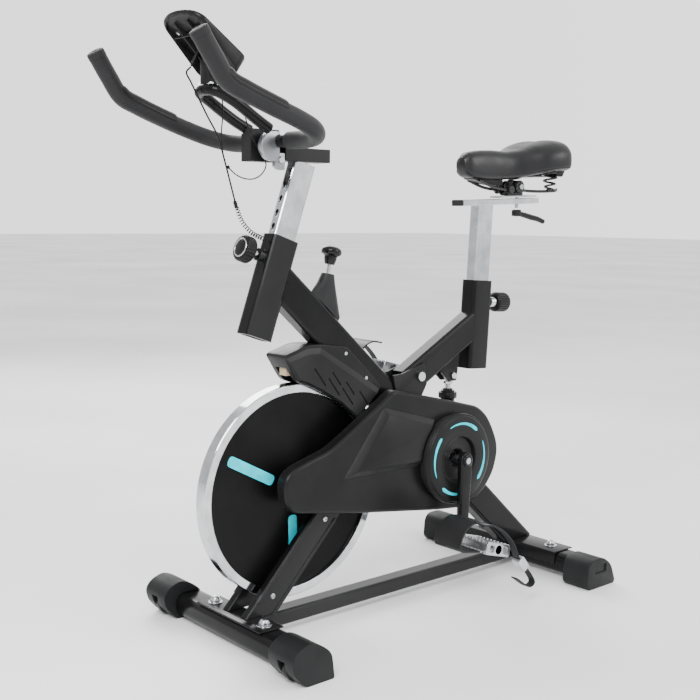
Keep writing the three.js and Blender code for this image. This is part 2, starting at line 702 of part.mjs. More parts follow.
const CLAMP = { inner: 8, outer: 21.6, y: -250, z: 926.5, radius: 27, edge: -236 };

/** The black head on the post: a box over its end and the block that carries the bar. */
function headBox() {
  const postTop = along(HEAD.top, HEAD.axis, POST_TOP);
  const blockSide = CLAMP.inner - GAP;
  const lid = box([-20, -222, 901], [20, -116, 926]);
  const yoke = box([-34, -232, 902], [blockSide, -205, 920]);
  const block = box([-34, -283, 899], [-4, -219, 958]);
  const post = beam(
    along(postTop, HEAD.axis, -GAP), HEAD.top, POST.width + 2 * GAP, POST.depth + 2 * GAP, 5);
  return cut(join(lid, yoke, block), post, handlebarRoom, loopRoom);
}

/** The chrome half-round clamp plate beside the block, with its bolt's lug. */
function stemClamp() {
  const { inner, outer, y, z, radius, edge } = CLAMP;
  const profile = [[edge, z - radius]];
  for (let i = 0; i <= 8; i++) {
    const angle = -Math.PI / 2 - (i * Math.PI) / 8;
    profile.push([y + radius * Math.cos(angle), z + radius * Math.sin(angle)]);
  }
  profile.push([edge, z + radius]);
  const lug = box([inner, edge - 1, 884], [outer - 2, -222 - GAP, 916]);
  return cut(join(sidePlate(profile, inner, outer), lug), handlebarRoom, loopRoom);
}

/** A tilted point on the console: across, down its slope, and out of its face. */
const consolePoint = (x, run, out) =>
  v3(x, -427 + 0.822 * run + 0.569 * out, 1131 - 0.569 * run + 0.822 * out);

/** The console: a tilted slab with an arched front edge, its arm and the cable's exit. */
function consoleBody() {
  const outline = [
    [-59, 2], [-48, -10], [-26, -17], [0, -19], [26, -17], [48, -10], [59, 2],
    [59, 104], [48, 114], [-48, 114], [-59, 104],
  ];
  const layer = (shrink, out) =>
    outline.map(([x, run]) => consolePoint(x * shrink, 45 + (run - 45) * shrink, out));
  const under = (shrink, base) =>
    outline.map(([x, run]) => consolePoint(x * shrink, 45 + (run - 45) * shrink, base - 0.2 * run));
  const slab = loft([under(0.93, -9), under(1, -4), layer(1, 1.2), layer(0.96, 3)],
    (p) => new THREE.Vector2(p.x, -p.z));
  const arm = box([-13, -386, 1016], [13, -366, 1072]);
  const relief = rod([-20, -386, 1080], [-20, -398, 1058], 4, 8);
  return cut(join(slab, arm, relief), bentBar(mirrored(consoleLoopHalf), 10.9, 8, 22));
}

/** A locking knob on a sleeve: threaded shank, collar and grip. */
function lockingKnob({ at, dir }, reach, grip, thickness) {
  const spot = (distance) => [0, ...along(at, dir, distance)];
  return join(
    rod(spot(-reach), spot(12), 5, 12),
    rod(spot(10.4), spot(26), 10, 12, 12),
    rod(spot(25), spot(29), 15, 16, grip),
    rod(spot(28.5), spot(28.5 + thickness), grip, 16),
    rod(spot(28 + thickness), spot(32 + thickness), grip * 0.8, 16, grip * 0.7),
  );
}

part("handlebar_post", handlebarPost(), chrome);
part("head_box", headBox(), blackPlastic);
part("handlebar", handlebar, foam);
part("console_loop", consoleLoop, blackPaint);
part("stem_clamp", stemClamp(), chrome);
part("console", consoleBody(), blackPlastic);
part("head_knob", lockingKnob(HEAD_KNOB, 3.5, 25, 20), blackPlastic);

// ---------------------------------------------------------------- seat
/** The sprung strut with the seat sleeve on its end and the shock's clevis below it. */
function seatStrut() {
  const pivotBore = rod([-40, ...SEAT_PIVOT], [40, ...SEAT_PIVOT], 6.3, 12);
  const tube = beam([102.8, 456.4], [316, 574.8], 39.6, 60, 7);
  const ears = [-14, 10].map((x) => sidePlate(
    [[198, 490], [206, 470], [228, 450], [250, 450], [254, 470], [258, 520], [220, 510]], x, x + 4,
  ));
  const eyeBore = rod([-20, ...SHOCK_EYE], [20, ...SHOCK_EYE], 5.3, 12);
  const sleeve = sleeveTube(SEAT_TUBE, SEAT_KNOB.at, SEAT_KNOB.dir);
  const hollow = beam(
    along(SEAT_TUBE.top, SEAT_TUBE.axis, -5), along(SEAT_TUBE.top, SEAT_TUBE.axis, SEAT_TUBE.length + 5),
    POST.width + 2 * GAP, POST.depth + 2 * GAP, POST.radius + GAP,
  );
  return cut(join(tube, sleeve, ...ears), pivotBore, eyeBore, hollow);
}

/** The shock's rod with its eye between the clevis ears and its pin. */
function shockRod() {
  const [y, z] = SHOCK_EYE;
  const eye = rod([-9, y, z], [9, y, z], 10);
  const pin = rod([-18, y, z], [18, y, z], 5, 12);
  return join(eye, pin, rod([0, y, z - 4], [0, y, z - 96], 6, 12));
}

/** The shock's body, welded on the main strut, with its adjusting ring. */
function shockBody() {
  const [y] = SHOCK_EYE;
  const body = join(
    rod([0, y, 250], [0, y, 428], 15),
    rod([0, y, 412], [0, y, 424], 20, 12),
    rod([0, y, 427], [0, y, 432], 11),
  );
  const bore = rod([0, y, 340], [0, y, 440], 8.6);
  const frame = beam(STRUT.top, STRUT.bottom, STRUT.width + 2 * GAP, STRUT.depth + 2 * GAP, 7);
  return cut(body, bore, frame, box([-40, 200, 100], [40, 280, 272]));
}

const RAIL = { front: [260, 832.5], rear: [509, 842], width: 30, depth: 13 };
const RAIL_DIR = [0.9993, 0.0381];

/** Chrome seat post with the seat rail welded across its top. */
function seatPost() {
  const { top, axis } = SEAT_TUBE;
  const post = beam(along(top, axis, -166), along(top, axis, 176), POST.width, POST.depth, POST.radius);
  const rail = beam(RAIL.front, RAIL.rear, RAIL.width, RAIL.depth, 2);
  const slot = box([-5.5, 392, 800], [5.5, 498, 860]);
  const plugFrom = along(RAIL.front, RAIL_DIR, -3);
  const plugTo = along(RAIL.front, RAIL_DIR, 14);
  const plugRoom = beam(plugFrom, plugTo, RAIL.width - 8, RAIL.depth - 6, 1);
  return cut(join(post, rail), slot, plugRoom);
}

function railPlug() {
  const front = along(RAIL.front, RAIL_DIR, -5);
  const face = along(RAIL.front, RAIL_DIR, -GAP);
  const shank = along(RAIL.front, RAIL_DIR, 12);
  return join(
    beam(front, face, RAIL.width, RAIL.depth, 2),
    beam(along(face, [1, 0], -1), shank, RAIL.width - 9, RAIL.depth - 7, 1),
  );
}

/** Slide plate, stud and the toothed clamp that carries the saddle. */
function saddleCarriage() {
  const slide = beam([379, 847.5], [498, 852], 34, 5, 1);
  const stud = rod([0, 450, 822], [0, 450, 860], 4.5, 12);
  const nut = rod([0, 450, 821.5], [0, 450, 832.4], 10, 12);
  const yoke = box([-14, 405, 850], [14, 456, 866]);
  const hub = rod([-20, 430, 872], [20, 430, 872], 11, 12);
  return join(slide, stud, cut(nut, box([-20, 430, 832], [20, 470, 836])), yoke, hub);
}

/** The cam lever below the rail that locks the saddle's fore-and-aft slide. */
function clampLever() {
  const hub = rod([0, 450, 806], [0, 450, 821], 11);
  const handle = bentBar([[0, 456, 812], [0, 490, 806], [0, 520, 801], [0, 546, 796]], 6, 8, 8);
  return join(hub, handle);
}

/** A closed solid under the saddle's skin: nose, waist and two rear lobes. */
function saddleSolid() {
  const stations = [
    [263, 12, 906, 926], [276, 21, 890, 938], [305, 26, 884, 945], [350, 30, 883, 948],
    [395, 38, 886, 948], [430, 56, 890, 956], [465, 79, 896, 969], [505, 90, 899, 979],
    [535, 87, 901, 978], [552, 66, 906, 966],
  ];
  const sections = stations.map(([y, half, low, high]) => {
    const points = [];
    for (let i = 0; i < 14; i++) {
      const angle = (i * 2 * Math.PI) / 14;
      const squash = (value) => Math.sign(value) * Math.pow(Math.abs(value), 0.7);
      const x = half * squash(Math.cos(angle));
      const z = (low + high) / 2 + ((high - low) / 2) * squash(Math.sin(angle));
      points.push(v3(x, y, z));
    }
    return points.reverse();
  });
  return loft(sections, (p) => new THREE.Vector2(-p.x, p.z));
}

/** One wire bow under the saddle, through the clamp and round behind. */
function saddleSprings() {
  const half = [
    [24.5, 404, 873], [25, 430, 872], [34, 460, 866], [52, 492, 862], [66, 515, 868],
    [68, 522, 882], [50, 526, 890], [20, 528, 891],
  ];
  return bentBar(mirrored(half), 3.5, 6, 36);
}

part("seat_strut", seatStrut(), blackPaint);
part("pivot_bolt", join(rod([-30, ...SEAT_PIVOT], [30, ...SEAT_PIVOT], 6, 12),
  rod([25, ...SEAT_PIVOT], [32, ...SEAT_PIVOT], 10, 12),
  rod([-32, ...SEAT_PIVOT], [-25, ...SEAT_PIVOT], 10, 12)), chrome);
part("shock_rod", shockRod(), steel);
part("shock_body", shockBody(), blackPaint);
part("seat_post", seatPost(), chrome);
part("rail_plug", railPlug(), blackPlastic);
part("seat_knob", lockingKnob(SEAT_KNOB, 3.5, 22, 34), blackPlastic);
part("saddle_carriage", saddleCarriage(), steel);
part("clamp_lever", clampLever(), blackPlastic);
const saddle = saddleSolid();
const springs = saddleSprings();
part("saddle", saddle, vinyl);
part("saddle_springs", springs, steel);

// ---------------------------------------------------------------- cords
const consoleWirePath = [
  [-20, -399.5, 1056], [-19, -409, 1046], [-12, -405, 1030], [-4, -400, 1012], [0, -380, 974],
  [0, -357, 938], [0, -343, 897], [0, -330, 855], [0, -320, 822],
];
const coilPath = [[0, -319, 818], [0, -306, 790], [0, -285, 770], [0, -254.5, 757]];
const pulseLeftPath = [
  [14, -352, 1036], [13, -330, 1022], [10, -312, 996], [6, -295, 955], [3, -270, 918],
  [0, -252, 893], [0, -262, 876], [0, -280, 867], [0, -300, 867], [0, -318, 873], [0, -334, 884],
];
const pulseRightPath = [
  [-12, -354, 1036], [-12, -343, 1018], [-9, -340, 985], [-5, -346, 950], [-3, -348, 920],
];
part("console_wire", bentBar(consoleWirePath, 1.6, 6, 30), rubber);
part("coil_cord", bentBar(coilPath, 4.5, 8, 10), rubber);
part("pulse_wire_left", bentBar(pulseLeftPath, 1.2, 6, 34), rubber);
part("pulse_wire_right", bentBar(pulseRightPath, 1.2, 6, 16), rubber);

export default bike;
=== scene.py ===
"""The looks of an indoor spin bike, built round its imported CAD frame."""

import json
import math

import bmesh
import bpy
from mathutils import Matrix, Vector


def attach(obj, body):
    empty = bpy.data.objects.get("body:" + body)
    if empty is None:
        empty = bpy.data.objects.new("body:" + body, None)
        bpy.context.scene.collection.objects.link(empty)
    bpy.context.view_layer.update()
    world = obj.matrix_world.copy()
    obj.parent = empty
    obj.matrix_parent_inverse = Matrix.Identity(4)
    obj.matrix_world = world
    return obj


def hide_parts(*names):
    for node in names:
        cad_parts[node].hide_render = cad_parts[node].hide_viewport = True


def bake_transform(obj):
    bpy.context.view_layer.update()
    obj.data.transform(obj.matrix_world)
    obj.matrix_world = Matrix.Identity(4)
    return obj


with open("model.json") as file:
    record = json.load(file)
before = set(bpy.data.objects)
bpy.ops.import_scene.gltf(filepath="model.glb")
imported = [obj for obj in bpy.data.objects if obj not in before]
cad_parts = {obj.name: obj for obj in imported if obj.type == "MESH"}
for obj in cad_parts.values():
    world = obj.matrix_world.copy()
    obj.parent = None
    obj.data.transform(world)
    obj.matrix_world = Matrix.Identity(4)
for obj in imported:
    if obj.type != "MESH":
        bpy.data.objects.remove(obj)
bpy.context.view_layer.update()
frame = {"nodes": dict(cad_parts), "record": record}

# ------------------------------------------------------------ driving dimensions, mm
# (Y, Z) pairs are in the bike's side plane; Y is counted from the drawing's own zero.
CENTRE_Y = 17
HEAD_TOP, HEAD_DOWN = (-216.5, 759), (-0.325, -0.946)
SEAT_TOP, SEAT_DOWN = (325.5, 665), (-0.0566, -0.9984)
STRUT_TOP, STRUT_BOTTOM = (-240, 689.9), (520, 10.2)
FLYWHEEL = (-192, 275)
CRANK = (187, 298)
WHEEL = (-343, 26)
BRAKE_BASE, BRAKE_UP = (-114, 635), (0.2, 0.98)
HEAD_KNOB, HEAD_KNOB_OUT = (-262.5, 727.5), (-0.946, 0.325)
SEAT_KNOB, SEAT_KNOB_OUT = (352.8, 616), (0.9984, -0.0566)
SHOCK_EYE = (239, 462)
PEDAL_TILT = math.radians(-16)
CRANK_LENGTH, CRANK_LEAN = 167, 5
ACROSS, UPWARD = (1, 0, 0), (0, 0, 1)
SQUARE = ((-1, -1), (1, -1), (1, 1), (-1, 1))
SIDES = ((1, "left"), (-1, "right"))
CRANKS = (("left", 1, -1), ("right", -1, 1))  # name, side, and down or up
PEDAL_INNER, PEDAL_OUTER = 116, 208
WHEEL_X = 208
SHROUD_EDGE_X, SHROUD_FACE_X = 30, 34.6
FOOT_OF_PANEL_X = 28
HOLE_PITCH = 27
CLAMP_CENTRE, CLAMP_RADIUS, CLAMP_EDGE = (-250, 926.5), 27, -236
SPRING_CENTRE = (52, 500, 864)
SPRING_HEIGHT, SPRING_TURNS = 40, 3
# in metres, as the frame is
FOAM_RADIUS, BARE_RADIUS = 0.016, 0.0127
FOAM_FROM = 0.046
CAMERA_PLACE = (1.6165, -1.4610, 0.7995)
# a focal length in mm, and angles in degrees
CAMERA_LENS = 55.49
CAMERA_AZIMUTH, CAMERA_HEIGHT, CAMERA_ROLL = 49.1012, 7.0129, 0.6


def P(x, y, z):
    """A drawing point in millimetres as a frame point in metres."""
    return Vector((x, y - CENTRE_Y, z)) / 1000


def along(point, direction, distance):
    """The side-plane point that lies a distance from another in a direction."""
    return tuple(p + d * distance for p, d in zip(point, direction))


# ------------------------------------------------------------ material building
def node(tree, kind, **inputs):
    """A new shader node with some of its inputs set; an underscore stands for a space."""
    made = tree.nodes.new("ShaderNode" + kind)
    for name, value in inputs.items():
        made.inputs[name.replace("_", " ")].default_value = value
    return made


def noise(tree, scale, detail=4.0, stretch=None):
    """A noise pattern in the object's own space, stretched along one axis if asked."""
    place = tree.nodes.new("ShaderNodeTexCoord")
    source = place.outputs["Object"]
    if stretch:
        mapping = node(tree, "Mapping", Scale=stretch)
        tree.links.new(source, mapping.inputs["Vector"])
        source = mapping.outputs["Vector"]
    made = node(tree, "TexNoise", Scale=scale, Detail=detail)
    tree.links.new(source, made.inputs["Vector"])
    return made.outputs["Fac"]


def remap(tree, source, low_in, high_in, low_out, high_out):
    """Maps a value linearly, and holds it, from one range to another."""
    made = node(tree, "MapRange", From_Min=low_in, From_Max=high_in, To_Min=low_out, To_Max=high_out)
    tree.links.new(source, made.inputs["Value"])
    return made.outputs["Result"]


def blended(tree, source, factor, low, high):
    """A colour between two, by a factor; source, if there is one, replaces the low colour."""
    made = tree.nodes.new("ShaderNodeMix")
    made.data_type = "RGBA"
    if low:
        made.inputs["A"].default_value = (*low, 1)
    made.inputs["B"].default_value = (*high, 1)
    tree.links.new(factor, made.inputs["Factor"])
    if source:
        tree.links.new(source, made.inputs["A"])
    return made.outputs["Result"]


def finish_material(name, color, rough, metal=0.0, coat=0.0, grain=(0, 0), patch=20,
                    edge=0.0012, edge_highlight=0.0, sheen=0.0, shine=0.5, stretch=None):
    """A Principled material with patchy roughness, surface grain, softened edges and a painted highlight that
    lightens its convex edges.

    rough is the lowest and highest roughness; grain is the bump's pattern scale and its height in mm.
    """
    made = bpy.data.materials.new(name)
    made.use_nodes = True
    made.diffuse_color = (*color, 1)
    tree = made.node_tree
    shader = tree.nodes["Principled BSDF"]
    shader.inputs["Metallic"].default_value = metal
    shader.inputs["Coat Weight"].default_value = coat
    shader.inputs["Coat Roughness"].default_value = 0.12
    shader.inputs["Sheen Weight"].default_value = sheen
    shader.inputs["Specular IOR Level"].default_value = shine
    patches = noise(tree, patch, stretch=stretch)
    tree.links.new(remap(tree, patches, 0.3, 0.7, *rough), shader.inputs["Roughness"])
    clouds = remap(tree, noise(tree, patch * 0.6), 0.3, 0.7, 0, 1)
    dark = [c * 0.82 for c in color]
    light = [min(1, c * 1.12 + 0.002) for c in color]
    colour = blended(tree, None, clouds, dark, light)
    # painted highlight: the colour is lightened on convex edges, found by their pointiness
    if edge_highlight:
        geometry = tree.nodes.new("ShaderNodeNewGeometry")
        edge_highlight_mask = remap(tree, geometry.outputs["Pointiness"], 0.53, 0.62, 0, edge_highlight)
        colour = blended(tree, colour, edge_highlight_mask, None, [min(1, c + 0.12) for c in color])
    tree.links.new(colour, shader.inputs["Base Color"])
    soft = node(tree, "Bevel", Radius=edge)
    soft.samples = 4
    normal = soft.outputs["Normal"]
    if grain[0]:
        bump = node(tree, "Bump", Distance=grain[1] / 1000, Strength=1.0)
        tree.links.new(noise(tree, grain[0], 6, stretch), bump.inputs["Height"])
        tree.links.new(normal, bump.inputs["Normal"])
        normal = bump.outputs["Normal"]
    tree.links.new(normal, shader.inputs["Normal"])
    return made


# the black paint, plastic and rubber carry a painted highlight that lightens their convex edges
LOOKS = {
    "black_paint": finish_material("gloss_black_paint", (0.004, 0.004, 0.0045), (0.14, 0.24), shine=0.15,
                                   grain=(260, 0.02), edge=0.003, edge_highlight=0.12),
    "chrome": finish_material("polished_chrome", (0.6, 0.61, 0.63), (0.05, 0.13), metal=1, patch=60,
                              edge=0.002),
    "black_plastic": finish_material("grained_plastic", (0.005, 0.005, 0.0055), (0.3, 0.42), shine=0.18,
                                     grain=(900, 0.06), edge=0.002, edge_highlight=0.1),
    "gloss_trim": finish_material("gloss_plastic", (0.003, 0.003, 0.0035), (0.14, 0.22), shine=0.25,
                                  grain=(120, 0.01)),
    "rubber": finish_material("cap_rubber", (0.009, 0.0095, 0.01), (0.46, 0.6), shine=0.2,
                              grain=(700, 0.08), edge=0.003, edge_highlight=0.1),
    "foam": finish_material("foam_sleeve", (0.006, 0.006, 0.007), (0.5, 0.62), shine=0.3,
                            grain=(1100, 0.14), sheen=0.04),
    "felt": finish_material("pressed_felt", (0.5, 0.37, 0.22), (0.9, 1), grain=(600, 0.4), sheen=0.5),
    "vinyl": finish_material("saddle_vinyl", (0.004, 0.004, 0.005), (0.3, 0.42), grain=(520, 0.2),
                             shine=0.35, patch=35),
    "steel": finish_material("zinc_steel", (0.5, 0.51, 0.53), (0.22, 0.36), metal=1, patch=90,
                             grain=(300, 0.02)),
    "cord": finish_material("cable_jacket", (0.004, 0.004, 0.004), (0.4, 0.5), patch=200, shine=0.2,
                            edge=0.0001),
}
CYAN = finish_material("cyan_print", (0.0, 0.62, 0.74), (0.35, 0.45), patch=80, shine=0.08)
CAST = finish_material("cast_aluminium", (0.55, 0.56, 0.58), (0.3, 0.45), metal=1, grain=(500, 0.1),
                       patch=60)
# painted shade: a near-black laid on surfaces as thin pieces where holes and vents would be in shade
HOLE_SHADE = finish_material("painted_hole_shade", (0.001, 0.001, 0.001), (0.6, 0.7), shine=0.1)
# painted shade: the flywheel's black web is made deeper than the frame paint, for the shade in its recess
# between the rim's walls
WEB_SHADE_BLACK = finish_material("web_black_painted_shade", (0.0015, 0.0015, 0.0015), (0.3, 0.4), shine=0.12,
                            grain=(300, 0.01))
SCREEN = finish_material("display_glass", (0.01, 0.012, 0.012), (0.04, 0.08), coat=1.0, patch=4)
LIQUID_CRYSTAL = finish_material("liquid_crystal", (0.16, 0.19, 0.15), (0.25, 0.3), patch=6)
WEBBING = finish_material("strap_webbing", (0.012, 0.0125, 0.014), (0.6, 0.75), grain=(900, 0.25),
                          shine=0.3, stretch=(1, 3, 3))
SILVER_PAINT = finish_material("silver_plastic", (0.42, 0.43, 0.45), (0.3, 0.38), metal=0.4, patch=80)
SATIN_STEEL = finish_material("satin_steel", (0.3, 0.31, 0.33), (0.3, 0.4), metal=0.85, patch=60)
BLACK_STEEL = finish_material("blackened_steel", (0.012, 0.012, 0.013), (0.25, 0.35), metal=0.2,
                              shine=0.5, patch=90)


# ------------------------------------------------------------ shape building
def raw(verts, faces, name="cutter", merge=False):
    """A bare mesh object with outward faces; without a name it's one to cut with."""
    mesh = bpy.data.meshes.new(name)
    mesh.from_pydata([tuple(v) for v in verts], [], faces)
    work = bmesh.new()
    work.from_mesh(mesh)
    if merge:
        bmesh.ops.remove_doubles(work, verts=work.verts, dist=1e-6)
    bmesh.ops.recalc_face_normals(work, faces=work.faces)
    work.to_mesh(mesh)
    work.free()
    made = bpy.data.objects.new(name, mesh)
    bpy.context.scene.collection.objects.link(made)
    return made


def piece(name, verts, faces, slot, body, nodes=(), look=None, sharp=38):
    """A new mesh piece that rides on a body, when one is given, and stands for CAD nodes."""
    made = raw(verts, faces, name, merge=True)
    made.data.materials.append(look or LOOKS[slot])
    shade(made, sharp)
    if body:
        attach(made, body)
    if nodes:
        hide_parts(*nodes)
    return made


def shade(made, sharp):
    """Smooth faces, with edges over an angle in degrees kept sharp."""
    for polygon in made.data.polygons:
        polygon.use_smooth = True
    made.data.set_sharp_from_angle(angle=math.radians(sharp))


def skin(rings, closed=True):
    """Vertices and faces over a row of equal rings, with both ends filled."""
    count = len(rings[0])
    verts = [v for ring in rings for v in ring]
    faces = []
    for r in range(len(rings) - 1):
        for i in range(count):
            j = (i + 1) % count
            faces.append((r * count + i, r * count + j, (r + 1) * count + j, (r + 1) * count + i))
    if closed:
        faces.append(tuple(range(count)))
        faces.append(tuple(range((len(rings) - 1) * count, len(rings) * count)))
    return verts, faces


def curve_through(points, count):
    """Evenly spaced points on a smooth (centripetal) curve through a list of points."""
    ends = [points[0] * 2 - points[1], *points, points[-1] * 2 - points[-2]]
    fine = []
    for k in range(1, len(ends) - 2):
        a, b, c, d = ends[k - 1:k + 3]
        t0 = 0.0
        t1 = t0 + math.sqrt((b - a).length)
        t2 = t1 + math.sqrt((c - b).length)
        t3 = t2 + math.sqrt((d - c).length)
        for step in range(24):
            t = t1 + (t2 - t1) * step / 24
            ab = a.lerp(b, (t - t0) / (t1 - t0))
            bc = b.lerp(c, (t - t1) / (t2 - t1))
            cd = c.lerp(d, (t - t2) / (t3 - t2))
            abc = ab.lerp(bc, (t - t0) / (t2 - t0))
            bcd = bc.lerp(cd, (t - t1) / (t3 - t1))
            fine.append(abc.lerp(bcd, (t - t1) / (t2 - t1)))
    fine.append(points[-1].copy())
    reach = [0.0]
    for a, b in zip(fine, fine[1:]):
        reach.append(reach[-1] + (b - a).length)
    even, k = [], 0
    for step in range(count):
        want = reach[-1] * step / (count - 1)
        while k < len(fine) - 2 and reach[k + 1] < want:
            k += 1
        part = (want - reach[k]) / max(reach[k + 1] - reach[k], 1e-12)
        even.append(fine[k].lerp(fine[k + 1], min(1, max(0, part))))
    return even


def length_of(points):
    """The length of a line of points, in metres."""
    return sum((b - a).length for a, b in zip(points, points[1:]))


def frames_along(points):
    """A steady pair of cross directions at each point of a line."""
    found = []
    across = None
    for i, point in enumerate(points):
        tangent = (points[min(i + 1, len(points) - 1)] - points[max(i - 1, 0)]).normalized()
        if across is None:
            start = Vector((1, 0, 0)) if abs(tangent.x) < 0.9 else Vector((0, 0, 1))
            across = (start - tangent * start.dot(tangent)).normalized()
        across = (across - tangent * across.dot(tangent)).normalized()
        found.append((point, across, tangent.cross(across)))
    return found


def turns_of(sides):
    """The angles of evenly spaced points round a circle."""
    return [2 * math.pi * k / sides for k in range(sides)]


def crosswise(axis):
    """An axis at unit length and two directions square to it."""
    axis = Vector(axis).normalized()
    u = axis.orthogonal().normalized()
    return axis, u, axis.cross(u)


def slab(outline, levels, place=P):
    """Vertices and faces of an outline carried from the first level to the last."""
    return skin([[place(x, y, z) for y, z in outline] for x in levels])


def between(side, near, far):
    """The X range between two distances on one side of the bike, lowest first."""
    return sorted((side * near, side * far))


def arc(centre, across, upright, steps):
    """Half an ellipse round a point, from its far side over the upright to the near side."""
    angles = [math.pi * k / steps for k in range(steps + 1)]
    return [(centre[0] + across * math.cos(a), centre[1] + upright * math.sin(a)) for a in angles]


def cylinder(low, high, radius):
    """The profile of a plain turned cylinder."""
    return [(low, 0), (low, radius), (high, radius), (high, 0)]


def tube(name, points, radius, slot, body, sides=20, **more):
    """A round tube along a line; radius is in metres, or a function of the place from 0 to 1."""
    rings = []
    frames = frames_along(points)
    for i, (centre, u, v) in enumerate(frames):
        r = radius(i / (len(frames) - 1)) if callable(radius) else radius
        rings.append([centre + u * r * math.cos(a) + v * r * math.sin(a) for a in turns_of(sides)])
    return piece(name, *skin(rings), slot, body, **more)


def turned(name, profile, origin, axis, slot, body, sides=96, ripple=None, **more):
    """A turned solid: profile is (distance along the axis, radius) in mm, from end to end."""
    axis, u, v = crosswise(axis)
    rings = []
    for reach, radius in profile:
        ring = []
        spot = origin + axis * reach / 1000
        for angle in turns_of(sides):
            r = max(radius, 0.001) + (ripple(angle, reach) if ripple else 0)
            ring.append(spot + (u * math.cos(angle) + v * math.sin(angle)) * r / 1000)
        rings.append(ring)
    return piece(name, *skin(rings), slot, body, **more)


def turned_ring(name, profile, origin, axis, slot, body, sides=96, **more):
    """A turned ring: its profile closes on itself and stays off the axis."""
    axis, u, v = crosswise(axis)
    rings = []
    for angle in turns_of(sides):
        out = u * math.cos(angle) + v * math.sin(angle)
        rings.append([origin + axis * a / 1000 + out * r / 1000 for a, r in profile])
    verts, faces = skin(rings + [rings[0]], closed=False)
    return piece(name, verts, faces, slot, body, **more)


def rounded(outline, radius, steps=5):
    """The outline with each corner turned into a small curve."""
    out = []
    count = len(outline)
    for i, corner in enumerate(outline):
        corner = Vector(corner)
        before, after = Vector(outline[i - 1]), Vector(outline[(i + 1) % count])
        reach = min(radius, (before - corner).length * 0.49, (after - corner).length * 0.49)
        a = corner + (before - corner).normalized() * reach
        b = corner + (after - corner).normalized() * reach
        for k in range(steps + 1):
            t = k / steps
            out.append(a.lerp(corner, t).lerp(corner.lerp(b, t), t))
    return out


def prism(name, outline, x0, x1, slot, body, edge=1.5, segments=3, rim=None, **more):
    """A plate across the bike: a side outline from x0 to x1, with softened rims, or only the one at rim."""
    made = piece(name, *slab(outline, (x0, x1)), slot, body, **more)
    return soften(made, edge, segments, rim=rim)


def soften(made, edge, segments=3, limit=40, rim=None):
    """Rounds off an object's sharp edges, edge in mm; rim keeps to those at that X."""
    work = bmesh.new()
    work.from_mesh(made.data)
    angle = math.radians(limit)
    sharp = [e for e in work.edges if len(e.link_faces) == 2 and e.calc_face_angle() > angle]
    if rim is not None:
        sharp = [e for e in sharp if all(abs(v.co.x - rim / 1000) < 1e-5 for v in e.verts)]
    bmesh.ops.bevel(work, geom=sharp, offset=edge / 1000, segments=segments, profile=0.5,
                    affect="EDGES", clamp_overlap=True)
    work.to_mesh(made.data)
    work.free()
    shade(made, 50)
    return made


def beam(name, start, end, width, depth, radius, slot, body, x=0, **more):
    """A rounded box section between two side-plane points."""
    run = Vector((0, end[0] - start[0], end[1] - start[1])).normalized()
    across = Vector(ACROSS)
    out = across.cross(run)
    corners = [(a * width / 2, b * depth / 2) for a, b in SQUARE]
    section = rounded(corners, radius, 7)
    rings = [[P(x, *point) + (across * a + out * b) / 1000 for a, b in section] for point in (start, end)]
    return piece(name, *skin(rings), slot, body, **more)


def block(name, low, high, slot, body, edge=1.5, **more):
    """A box between two drawing corners, with rounded edges."""
    x0, y0, z0 = low
    x1, y1, z1 = high
    outline = [(y0, z0), (y1, z0), (y1, z1), (y0, z1)]
    return prism(name, outline, x0, x1, slot, body, edge=edge, **more)


def cut_away(made, *cutters):
    """Cuts other meshes out of a piece and removes them."""
    for cutter in cutters:
        tool = made.modifiers.new("cut", "BOOLEAN")
        tool.operation = "DIFFERENCE"
        tool.solver = "EXACT"
        tool.object = cutter
    bpy.context.view_layer.update()
    result = bpy.data.meshes.new_from_object(made.evaluated_get(bpy.context.evaluated_depsgraph_get()))
    made.modifiers.clear()
    made.data = result
    for cutter in cutters:
        bpy.data.objects.remove(cutter)
    shade(made, 40)
    return made


def raw_prism(outline, x0, x1):
    """A side outline from x0 to x1 to cut with."""
    return raw(*slab(outline, (x0, x1)))


def raw_rod(start, end, radius, sides=32):
    """A cylinder between two frame points to cut with."""
    _, u, v = crosswise(end - start)
    ring = [(u * math.cos(a) + v * math.sin(a)) * radius / 1000 for a in turns_of(sides)]
    return raw(*skin([[p + r for r in ring] for p in (start, end)]))


def screw(name, at, axis, radius, body, height=2.5, slot="steel"):
    """A pan-head screw with a hexagon socket."""
    head = [(0, radius), (height * 0.5, radius), (height * 0.85, radius * 0.8), (height, radius * 0.5),
            (height, radius * 0.45), (height * 0.35, radius * 0.42), (height * 0.35, 0)]
    return turned(name, head, at, axis, slot, body, sides=24)


def acorn_nut(name, at, radius, body):
    """A chrome domed nut on a washer, standing on +Z."""
    washer = [(0, radius * 1.35), (1.4, radius * 1.35), (1.6, radius * 1.2), (1.6, 0)]
    turned(name + "_washer", washer, at, (0, 0, 1), "chrome", body, sides=40)
    corners = [(radius * math.cos(k * math.pi / 3), radius * math.sin(k * math.pi / 3)) for k in range(6)]
    rings = [[at + Vector((x, y, z)) / 1000 for x, y in corners] for z in (1.6, 7.2)]
    soften(piece(name + "_hex", *skin(rings), "chrome", body), 0.8, 2)
    dome = [(6.8, radius * 0.84)]
    dome += [(6.8 + 6.5 * math.sin(k * math.pi / 16), radius * 0.84 * math.cos(k * math.pi / 16))
             for k in range(1, 9)]
    turned(name + "_dome", dome, at, (0, 0, 1), "chrome", body, sides=40)


# ------------------------------------------------------------ base
FRONT_CAP_SIDE = [(-281, 1.5), (-283, 24), (-287, 49), (-308, 66), (-325, 74), (-337, 76), (-361, 68),
                  (-375, 52), (-370, 28), (-345, 0), (-284, 0)]
REAR_CAP_SIDE = [(432, 0), (424, 10), (427, 50), (439, 65), (480, 66), (509, 46), (524, 8), (520, 0)]


FRONT_TUBE, REAR_TUBE = (-314, 28), (478, 32)


def stabiliser(y, z, grow=0):
    """The rounded side outline of a stabiliser tube, or of the socket that goes over it."""
    wide, high = 31 + grow, 23 + grow
    return rounded([(y + a * wide, z + b * high) for a, b in SQUARE], 20 + grow, 8)


